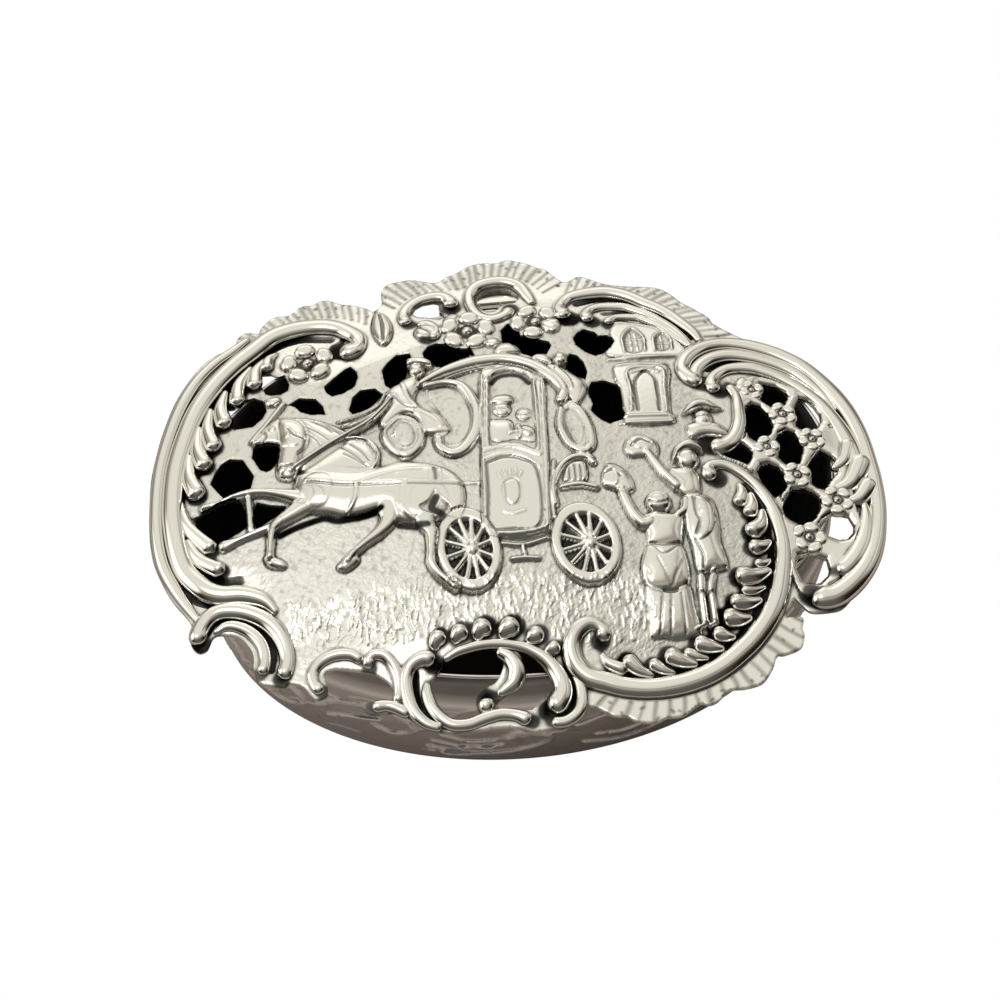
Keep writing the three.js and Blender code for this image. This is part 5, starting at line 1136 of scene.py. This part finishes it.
def wheel(lid, x, y, rx, ry, hub_x, hub_y):
    """A spoked wheel seen nearly face on, leaning a little."""
    spokes, inner = 12, 0.68
    lean = math.radians(-6)
    tilt = np.array([(math.cos(lean), -math.sin(lean)), (math.sin(lean), math.cos(lean))])
    u = (lid.X - x) * tilt[0, 0] + (lid.Y - y) * tilt[0, 1]
    v = (lid.X - x) * tilt[1, 0] + (lid.Y - y) * tilt[1, 1]
    r = np.hypot(u / rx, v / ry)
    # Between the spokes the dark ground shows, nearly flat
    lid.h = np.where(r < 1, np.minimum(lid.h, 0.1), lid.h)
    rim = np.clip((r - inner) / (1 - inner), 0, 1)
    tyre = 1.6 * np.sqrt(np.clip(1 - (2 * rim - 1) ** 4, 0, 1)) * ((r > inner) & (r < 1))
    lid.h = np.maximum(lid.h, tyre)
    lid.dark = np.where(r < inner, 0.85, lid.dark)
    for k in range(spokes):
        a = 2 * math.pi * (k + 0.25) / spokes
        tip = np.array((x, y)) + 0.72 * np.array((rx * math.cos(a), ry * math.sin(a))) @ tilt
        d, _ = lid.distance(smooth([(hub_x, hub_y), tip]), 0.8)
        lid.h = np.maximum(lid.h, 1.3 * bump_over(d, 0.75))
        lid.dark = np.where(d < 0.62, 0, lid.dark)
    lid.matt = np.where(r < 1, MATT_WHEEL, lid.matt)
    lid.dot(2, hub_x, hub_y, rx=1.5, ry=2.4)
    lid.dark = np.where(np.hypot(lid.X - hub_x, lid.Y - hub_y) < 1.4, 0, lid.dark)


def flower(lid, x, y, spread, petal_size, count, turn, height):
    """The button of a flower and the dark ring between it and the petals."""
    r = np.hypot(lid.X - x, lid.Y - y)
    lid.dark = np.where(r < 0.55 * spread, 0.8, lid.dark)
    lid.dot(0.9 * height, x, y, rx=0.3 * spread, ry=0.3 * spread)
    lid.dark = np.where(r < 0.28 * spread, 0, lid.dark)
    for px, py in petal_places(x, y, spread, count, turn):
        d = np.hypot(lid.X - px, lid.Y - py)
        lid.cover = np.maximum(lid.cover, height * bump_over(d, petal_size))


def petal_places(x, y, spread, count, turn):
    """The middles of a flower's petals."""
    angles = [math.radians(turn) + 2 * math.pi * k / count for k in range(count)]
    return [(x + spread * math.cos(a), y + spread * math.sin(a)) for a in angles]


def grass(lid):
    """Short curved blades along the foot of the scene."""
    rng = np.random.default_rng(7)
    blades = 620
    for _ in range(blades):
        x = rng.uniform(-56, 26)
        y = rng.uniform(-42, -29.5) if x < 2 else rng.uniform(-47, -31)
        # None stand at the notch in the border
        if x < -40 and y < -39:
            continue
        lean, length = rng.uniform(-0.5, 0.5), rng.uniform(1, 2.4)
        run = np.array([(x, y), (x + lean * 0.4, y + length / 2), (x + lean * 1.2, y + length)])
        s = lid.window(run, 1)
        # Only the part of the map round the blade is worked
        part = Relief.__new__(Relief)
        part.step, part.x0, part.y0 = lid.step, lid.X[s][0, 0], lid.Y[s][0, 0]
        part.X, part.Y = lid.X[s], lid.Y[s]
        d, _ = part.distance(smooth(run, step=0.8), 0.6)
        lid.h[s] += rng.uniform(0.05, 0.17) * bump_over(d, 0.3)
        lid.matt[s] = np.where(d < 0.3, MATT_BLADE, lid.matt[s])


def footprints(lid):
    """Marks where scrolls and gadroons stand, so the sheet darkens beside them."""
    for run in SCROLLS.values():
        points = smooth(run)
        d, share = lid.distance(points, points[:, 2].max())
        width = np.interp(share, np.linspace(0, 1, len(points)), points[:, 2])
        lid.cover = np.maximum(lid.cover, 0.8 * width * bump_over(d, width))
    for half, *run in DROPS:
        d, share = lid.distance(smooth(run), half)
        width = half * (0.3 + 0.7 * np.sin(np.clip(share, 0, 1) * math.pi * 0.6))
        lid.cover = np.maximum(lid.cover, width * bump_over(d, width))


def whole_cells(cut):
    """Which cells of the map lie wholly in the sheet, without two that meet at a corner alone."""
    solid = cut >= 0
    cells = solid[:-1, :-1] & solid[1:, :-1] & solid[:-1, 1:] & solid[1:, 1:]
    for _ in range(4):
        a, b, c, d = cells[:-1, :-1], cells[:-1, 1:], cells[1:, :-1], cells[1:, 1:]
        first, second = a & d & ~b & ~c, b & c & ~a & ~d
        a[first] = False
        b[second] = False
    return cells


def sheet_tiles(lid, cut, thickness, tiles):
    """Closed slices of the chased sheet; every slice shades from the whole map's slopes."""
    # How much of the relief shows underneath, and the least thickness in mm
    copied, thinnest = 0.55, 0.45
    cells = whole_cells(cut)
    ny, nx = lid.X.shape
    # The rim's points are pushed out to the true edge
    touching = np.zeros((ny, nx), int)
    for dy, dx in ((0, 0), (0, 1), (1, 0), (1, 1)):
        touching[dy : dy + ny - 1, dx : dx + nx - 1] += cells
    rim = (touching > 0) & (touching < 4)
    gy, gx = np.gradient(cut, lid.step)
    size = np.hypot(gx, gy) + 1e-6
    push = np.clip(cut, 0, 1.3 * lid.step) * rim
    X, Y = lid.X - push * gx / size, lid.Y - push * gy / size
    top = lid_surface(X, Y) + lid.h
    # The relief shows more softly underneath. Under the scrolls and petals, which are sunk in it, the sheet
    # keeps its full depth
    under = soften(np.where(lid.cover > 0, np.minimum(lid.h, 0), lid.h), 2)
    bottom = lid_surface(X, Y) - thickness + copied * np.clip(under, -0.3, 1.5)
    bottom = np.minimum(bottom, top - thinnest)
    sy, sx = np.gradient(lid_surface(lid.X, lid.Y) + lid.h, lid.step)
    up = np.stack([-sx, -sy, np.ones_like(sx)], -1)
    up /= np.linalg.norm(up, axis=-1, keepdims=True)
    layers = {"x": X.ravel(), "y": Y.ravel(), "top": top.ravel(), "bottom": bottom.ravel()}
    layers["up"] = up.reshape(-1, 3)
    total, columns = cells.sum(), np.cumsum(cells.sum(0))
    inner = [int(np.searchsorted(columns, total * k / tiles)) for k in range(1, tiles)]
    edges = [0, *inner, nx - 1]
    return [sheet_slice(lid, layers, cells, lo, hi) for lo, hi in zip(edges, edges[1:])]


def sheet_slice(lid, layers, cells, lo, hi):
    """One slice of the sheet: its points, faces, oxide with painted shade, matting and normals."""
    nx = lid.X.shape[1]
    part = np.zeros_like(cells)
    part[:, lo:hi] = cells[:, lo:hi]
    jj, ii = np.nonzero(part)
    corner = jj * nx + ii
    corners = np.stack([corner, corner + 1, corner + nx + 1, corner + nx], 1)
    used, index = np.unique(corners, return_inverse=True)
    quads = index.reshape(-1, 4)
    n = len(used)
    verts = np.vstack([np.stack([layers["x"][used], layers["y"][used], layers[side][used]], 1)
                       for side in ("top", "bottom")])
    # A side that only one face has gets a wall
    halves = np.concatenate([quads[:, [k, (k + 1) % 4]] for k in range(4)])
    codes = halves[:, 0].astype(np.int64) * n + halves[:, 1]
    back = halves[:, 1].astype(np.int64) * n + halves[:, 0]
    border = halves[~np.isin(codes, back)]
    walls = np.stack([border[:, 1], border[:, 0], border[:, 0] + n, border[:, 1] + n], 1)
    faces = np.vstack([quads, quads[:, ::-1] + n, walls])
    flat = layers["up"][used]
    way = verts[border[:, 1]] - verts[border[:, 0]]
    out = np.stack([way[:, 1], -way[:, 0], np.zeros(len(way))], 1)
    out /= np.linalg.norm(out, axis=1)[:, None] + 1e-9
    normals = [flat[quads].reshape(-1, 3), -flat[quads[:, ::-1]].reshape(-1, 3), np.repeat(out, 4, 0)]
    # The underside is dull, with an even tarnish
    dark = np.concatenate([lid.dark.ravel()[used], np.full(n, 0.35)])
    matt = np.concatenate([lid.matt.ravel()[used], np.full(n, 0.8)])
    return verts, faces, dark, matt, np.vstack(normals)


class SILVERBOX_LidProps(PropertyGroup):
    """Sizes and colour of the lid"""

    grid_step: FloatProperty(
        name="Grid step", description="Distance between the points of the chased sheet, in mm",
        default=0.27, min=0.2, max=2.0)
    thickness: FloatProperty(
        name="Sheet thickness", description="Thickness of the lid's sheet",
        default=0.0009, min=0.0004, max=0.002, unit="LENGTH")
    tiles: IntProperty(
        name="Slices", description="How many slices the sheet is made in", default=6, min=1, max=8)
    scroll_lift: FloatProperty(
        name="Scroll height", description="Height of a scroll over its half width",
        default=0.85, min=0.3, max=1.2)
    silver: FloatVectorProperty(
        name="Silver", description="Colour of the lid's polished silver",
        default=srgb("#f3f2ec"), size=4, min=0.0, max=1.0, subtype="COLOR")


class SILVERBOX_BodyProps(PropertyGroup):
    """Sizes and colour of the body"""

    wall: FloatProperty(
        name="Wall thickness", description="Thickness of the body's sheet",
        default=0.0009, min=0.0004, max=0.002, unit="LENGTH")
    around: IntProperty(
        name="Steps round", description="Points round the body", default=840, min=48, max=1000)
    silver: FloatVectorProperty(
        name="Silver", description="Colour of the body's polished silver",
        default=srgb("#ece7e9"), size=4, min=0.0, max=1.0, subtype="COLOR")


class SILVERBOX_StageProps(PropertyGroup):
    """Settings of the stage"""

    lens: FloatProperty(
        name="Lens", description="Focal length on a 36 mm sensor", default=93.96, min=20, max=300)


class SILVERBOX_OT_lid_sheet(Operator):
    """Makes the chased and pierced sheet of the lid"""

    bl_idname = "silverbox.lid_sheet"
    bl_label = "Lid sheet"

    def execute(self, context):
        props = context.scene.silverbox_lid
        coarser = 1
        lid, cut = chase_lid(props.grid_step * coarser)
        slices = sheet_tiles(lid, cut, props.thickness / MM, props.tiles)
        for number, (verts, faces, *shading) in enumerate(slices):
            name = f"lid_sheet_{number + 1}"
            piece = new_piece(name, verts, faces, "chased_silver", *shading, LID_SHIFT)
            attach(piece, "lid")
            if number == 0:
                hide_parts("lid_cover")
        return {"FINISHED"}


class SILVERBOX_OT_lid_scrolls(Operator):
    """Makes the lid's raised scrolls with their round ends"""

    bl_idname = "silverbox.lid_scrolls"
    bl_label = "Lid scrolls"

    def execute(self, context):
        lift = context.scene.silverbox_lid.scroll_lift
        parts = [loft(run, lift) for run in SCROLLS.values()]
        verts, faces, dark = gather(parts)
        piece = new_piece("lid_scrolls", verts, faces, "chased_silver", dark, shift=LID_SHIFT)
        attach(piece, "lid")
        return {"FINISHED"}


class SILVERBOX_OT_lid_flowers(Operator):
    """Makes the round petals of the flowers"""

    bl_idname = "silverbox.lid_flowers"
    bl_label = "Lid flowers"

    def execute(self, context):
        parts = []
        for x, y, spread, size, count, turn, height in FLOWERS:
            for px, py in petal_places(x, y, spread, count, turn):
                parts.append(petal(px, py, size, height, math.atan2(py - y, px - x)))
        verts, faces, dark = gather(parts)
        piece = new_piece("lid_flowers", verts, faces, "chased_silver", dark, shift=LID_SHIFT)
        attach(piece, "lid")
        return {"FINISHED"}


class SILVERBOX_OT_lid_gadroons(Operator):
    """Makes the drop-shaped gadroons inside the scrolls"""

    bl_idname = "silverbox.lid_gadroons"
    bl_label = "Lid gadroons"

    def execute(self, context):
        parts = []
        for half, tail, middle, head in DROPS:
            way = np.array(head) - middle
            # The round end goes on past the head
            end = np.array(head) + 0.5 * half * way / np.hypot(*way)
            spine = [(*tail, 0.3 * half), (*middle, 0.78 * half), (*head, half), (*end, half)]
            parts.append(loft(spine, 1.0))
        verts, faces, dark = gather(parts)
        piece = new_piece("lid_gadroons", verts, faces, "chased_silver", dark, shift=LID_SHIFT)
        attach(piece, "lid")
        return {"FINISHED"}


def body_offset(z):
    """How far the body stands out of the mouth line, in mm, at a height."""
    # Shares of the way up to the collar, and how far out the wall is there
    share = [0, 0.02, 0.06, 0.2, 0.4, 0.62, 0.82, 0.95, 1, 1.4]
    out = [-4, -3, -2.5, -1.5, -0.2, 0.9, 1.1, 0.6, 0, 0]
    return np.interp(z / COLLAR_Z, share, out)


def ring_faces(around, section):
    """The faces of a closed ring with closed sections."""
    a = np.arange(around)[:, None] * section
    b = np.roll(a, -1, 0)
    k = np.arange(section)[None]
    after = (k + 1) % section
    return np.stack([a + k, b + k, b + after, a + after], -1).reshape(-1, 4)


def chase_body(half):
    """The map of half the body's round, laid flat, with its embossing and loose strokes.

    half is half of its length in mm.
    """
    raised, sunk = 44, 80
    work = Relief(x0=-half, x1=half, y0=0, y1=COLLAR_Z, step=0.3)
    work.work(BODY_WORK)
    rng = np.random.default_rng(5)
    for _ in range(raised):
        x, z = rng.uniform(-half, half - 9), rng.uniform(5, 27)
        bend = rng.uniform(-3, 3)
        work.line(0.5, 0.7, [(x, z), (x + 3.5, z + 2 + bend * 0.4), (x + 8, z + 2.4 + bend)], adds=True)
    for _ in range(sunk):
        x, z = rng.uniform(2 - half, half - 2), rng.uniform(5, 27)
        work.line(0.3, 0.3, [(x, z), (x + rng.uniform(-1.5, 1.5), z + rng.uniform(1.5, 3))], sinks=True)
    return work


class SILVERBOX_OT_body(Operator):
    """Makes the embossed wall of the body with its plain collar"""

    bl_idname = "silverbox.body"
    bl_label = "Body wall"

    def execute(self, context):
        props = context.scene.silverbox_body
        n, rows = props.around, 84
        turn = -2 * math.pi * np.arange(n) / n
        # The section goes up outside and down again inside
        z = np.concatenate([np.linspace(0, COLLAR_Z, rows), [COLLAR_Z + 0.5, 35.5, 38.5, WALL_Z]])
        within_z = np.array([WALL_Z, COLLAR_Z, 24.0, 16.0, 9.0, 4.0, 1.5, 0.0])
        T, Z = np.meshgrid(turn, z, indexing="ij")
        TI, ZI = np.meshgrid(turn, within_z, indexing="ij")
        # The front's embossing comes again at the back
        half = BODY_ARC * math.pi / 2
        work = chase_body(half)
        arc = (np.arctan2(np.cos(T), -np.sin(T)) * BODY_ARC + half) % (2 * half)
        column, row = arc / work.step, Z / work.step
        # It fades out over 4 mm to the collar and to the foot, and stays within the CAD wall
        emboss = between(work.h, column, row) - 0.9
        emboss *= np.clip((COLLAR_Z - 1.5 - Z) / 4, 0, 1)
        emboss *= np.clip(Z / 4, 0, 1)
        bulge = np.minimum(emboss * 0.8, 0.95 - body_offset(Z)) * (Z < COLLAR_Z)
        rings = np.concatenate([body_offset(Z) + bulge, body_offset(ZI) - props.wall / MM], 1)
        heights = np.concatenate([Z, ZI], 1)
        angle = np.concatenate([T, TI], 1)
        x, y = (MOUTH_X + rings) * np.cos(angle), (MOUTH_Y + rings) * np.sin(angle)
        verts = np.stack([x, y, heights], -1)
        quads = ring_faces(n, verts.shape[1])[:, ::-1]
        # Oxide stays round the embossing, and painted shade darkens the collar under the lid
        oxide_and_shade = between(np.maximum(work.dark, 0.25 * (work.h < 0.25)), column, row) * (Z < COLLAR_Z - 1)
        oxide_and_shade += 0.8 * (Z > COLLAR_Z + 1)
        # The wall's inside is tarnished, and darkened further as painted shade
        dark = np.concatenate([0.8 * oxide_and_shade, np.full(TI.shape, 0.9)], 1).ravel()
        matt = np.tile([0] * len(z) + [1] * len(within_z), n)
        piece = new_piece("body_shell", verts.reshape(-1, 3), quads, "body_silver", dark, matt)
        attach(piece, "body")
        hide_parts("body_wall")
        return {"FINISHED"}


class SILVERBOX_OT_mouth(Operator):
    """Makes the round wire along the mouth"""

    bl_idname = "silverbox.mouth"
    bl_label = "Mouth wire"

    def execute(self, context):
        n, sides, radius, inset = 240, 16, 0.5, 0.45
        turn = 2 * math.pi * np.arange(n) / n
        section = 2 * math.pi * np.arange(sides) / sides
        T, S = np.meshgrid(turn, section, indexing="ij")
        reach, rise = radius * np.cos(S) - inset, RIM_Z - radius + radius * np.sin(S)
        verts = np.stack([(MOUTH_X + reach) * np.cos(T), (MOUTH_Y + reach) * np.sin(T), rise], -1)
        piece = new_piece("rim_wire", verts.reshape(-1, 3), ring_faces(n, sides), "body_silver")
        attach(piece, "body")
        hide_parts("mouth_wire")
        return {"FINISHED"}


class SILVERBOX_OT_base(Operator):
    """Gives the CAD base and hinge parts their metal"""

    bl_idname = "silverbox.base"
    bl_label = "Base and hinge"

    def execute(self, context):
        for name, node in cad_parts.items():
            if not node.hide_render:
                metal_name = "inside_silver" if name == "base_disc" else "chased_silver"
                node.data.materials.clear()
                node.data.materials.append(look(metal_name))
        return {"FINISHED"}


def white_to_camera(tree, kind, shown):
    """A shader that only the camera sees as plain white."""
    path = add_node(tree, "ShaderNodeLightPath")
    white = add_node(tree, kind, {"Color": (1, 1, 1, 1), "Strength": 1.0})
    sides = {"Fac": path.outputs["Is Camera Ray"], 1: shown.outputs[0], 2: white.outputs[0]}
    return add_node(tree, "ShaderNodeMixShader", sides).outputs[0]


def facing(tree, place, direction, begins, full):
    """How squarely the sky faces a direction: nothing at one cosine, one at the other."""
    sides = {0: place, 1: Vector(direction).normalized()}
    dot = add_node(tree, "ShaderNodeVectorMath", sides, operation="DOT_PRODUCT")
    cosines = {"Value": dot.outputs["Value"], "From Min": begins, "From Max": full}
    blend = "SMOOTHSTEP" if full < 1 else "LINEAR"
    return add_node(tree, "ShaderNodeMapRange", cosines, interpolation_type=blend).outputs["Result"]


class SILVERBOX_OT_stage(Operator):
    """Sets the floor, lights and camera"""

    bl_idname = "silverbox.stage"
    bl_label = "Stage"

    def execute(self, context):
        self.floor(context, size=4)
        self.world(context)
        self.lamp(context, place=(-0.35, 0.1, 1.2), target=(0, 0, 0.04), size=0.22, power=0.9)
        self.camera(context, place=(-0.03967, -0.34666, 0.53449), target=(-0.0037, -0.0044, 0.043))
        return {"FINISHED"}

    def floor(self, context, size):
        """The pale paper that the box stands on"""
        bpy.ops.mesh.primitive_plane_add(size=size)
        floor = context.active_object
        floor.name = "floor"
        # matt studio paper
        material = bpy.data.materials.new("floor_paper")
        tree = empty_tree(material)
        paper = add_node(tree, "ShaderNodeBsdfDiffuse", {"Color": srgb("#d2cbc3")})
        surface = {"Surface": white_to_camera(tree, "ShaderNodeEmission", paper)}
        add_node(tree, "ShaderNodeOutputMaterial", surface)
        floor.data.materials.append(material)

    def world(self, context):
        """The studio that the silver mirrors: a pale dome over dark sides, with softboxes"""
        world = bpy.data.worlds.new("studio")
        context.scene.world = world
        tree = empty_tree(world)
        place = add_node(tree, "ShaderNodeTexCoord").outputs["Generated"]
        ramp = add_node(tree, "ShaderNodeValToRGB", {"Fac": facing(tree, place, DOME_TOP, -1, 1)})
        stops = ramp.color_ramp.elements
        stops[0].position, stops[0].color = DOME_TONES[0][0], srgb(DOME_TONES[0][1])
        stops[1].position, stops[1].color = DOME_TONES[-1][0], srgb(DOME_TONES[-1][1])
        for position, code in DOME_TONES[1:-1]:
            stops.new(position).color = srgb(code)
        total = ramp.outputs["Color"]
        for direction, begins, full, strength in SOFTBOXES:
            sides = {0: facing(tree, place, direction, begins, full), 1: [strength * c for c in BOX_TINT]}
            tint = add_node(tree, "ShaderNodeVectorMath", sides, operation="MULTIPLY")
            sides = {"Factor": 1.0, 6: total, 7: tint.outputs[0]}
            total = add_node(tree, "ShaderNodeMix", sides, data_type="RGBA", blend_type="ADD").outputs[2]
        soft = add_node(tree, "ShaderNodeBackground", {"Color": total, "Strength": 1.0})
        surface = {"Surface": white_to_camera(tree, "ShaderNodeBackground", soft)}
        add_node(tree, "ShaderNodeOutputWorld", surface)

    def lamp(self, context, place, target, size, power):
        """The key light"""
        light = bpy.data.lights.new("key", "AREA")
        light.shape, light.size, light.energy = "SQUARE", size, power
        lamp = bpy.data.objects.new("key", light)
        lamp.location = place
        lamp.rotation_euler = (Vector(target) - Vector(place)).to_track_quat("-Z", "Y").to_euler()
        context.scene.collection.objects.link(lamp)

    def camera(self, context, place, target):
        """The camera, at the photo's angle"""
        data = bpy.data.cameras.new("camera")
        data.lens = context.scene.silverbox_stage.lens
        data.sensor_width = 36
        data.clip_start, data.clip_end = 0.01, 20
        camera = bpy.data.objects.new("camera", data)
        camera.location = place
        camera.rotation_mode = "QUATERNION"
        camera.rotation_quaternion = (Vector(target) - Vector(place)).to_track_quat("-Z", "Y")
        context.scene.collection.objects.link(camera)
        context.scene.camera = camera
        context.scene.view_settings.view_transform = "Standard"


class SILVERBOX_PT_panel(Panel):
    """Lists the sizes, the colours and the pieces"""

    bl_label = "Silver Box"
    bl_space_type = "VIEW_3D"
    bl_region_type = "UI"
    bl_category = "Silver Box"

    def draw(self, context):
        layout = self.layout
        for key in ("silverbox_lid", "silverbox_body", "silverbox_stage"):
            props = getattr(context.scene, key)
            for prop in props.__annotations__:
                layout.prop(props, prop)
        for operator in OPERATORS:
            layout.operator(operator.bl_idname)


OPERATORS = (
    SILVERBOX_OT_lid_sheet,
    SILVERBOX_OT_lid_scrolls,
    SILVERBOX_OT_lid_flowers,
    SILVERBOX_OT_lid_gadroons,
    SILVERBOX_OT_body,
    SILVERBOX_OT_mouth,
    SILVERBOX_OT_base,
    SILVERBOX_OT_stage,
)
GROUPS = {
    "silverbox_lid": SILVERBOX_LidProps,
    "silverbox_body": SILVERBOX_BodyProps,
    "silverbox_stage": SILVERBOX_StageProps,
}


def register():
    for cls in (*GROUPS.values(), *OPERATORS, SILVERBOX_PT_panel):
        bpy.utils.register_class(cls)
    for key, cls in GROUPS.items():
        setattr(bpy.types.Scene, key, PointerProperty(type=cls))


def unregister():
    for key in GROUPS:
        delattr(bpy.types.Scene, key)
    for cls in reversed((*GROUPS.values(), *OPERATORS, SILVERBOX_PT_panel)):
        bpy.utils.unregister_class(cls)


def main():
    """Builds the box and its stage."""
    register()
    for operator in OPERATORS:
        getattr(bpy.ops.silverbox, operator.bl_idname.split(".")[1])()


if __name__ == "__main__":
    main()
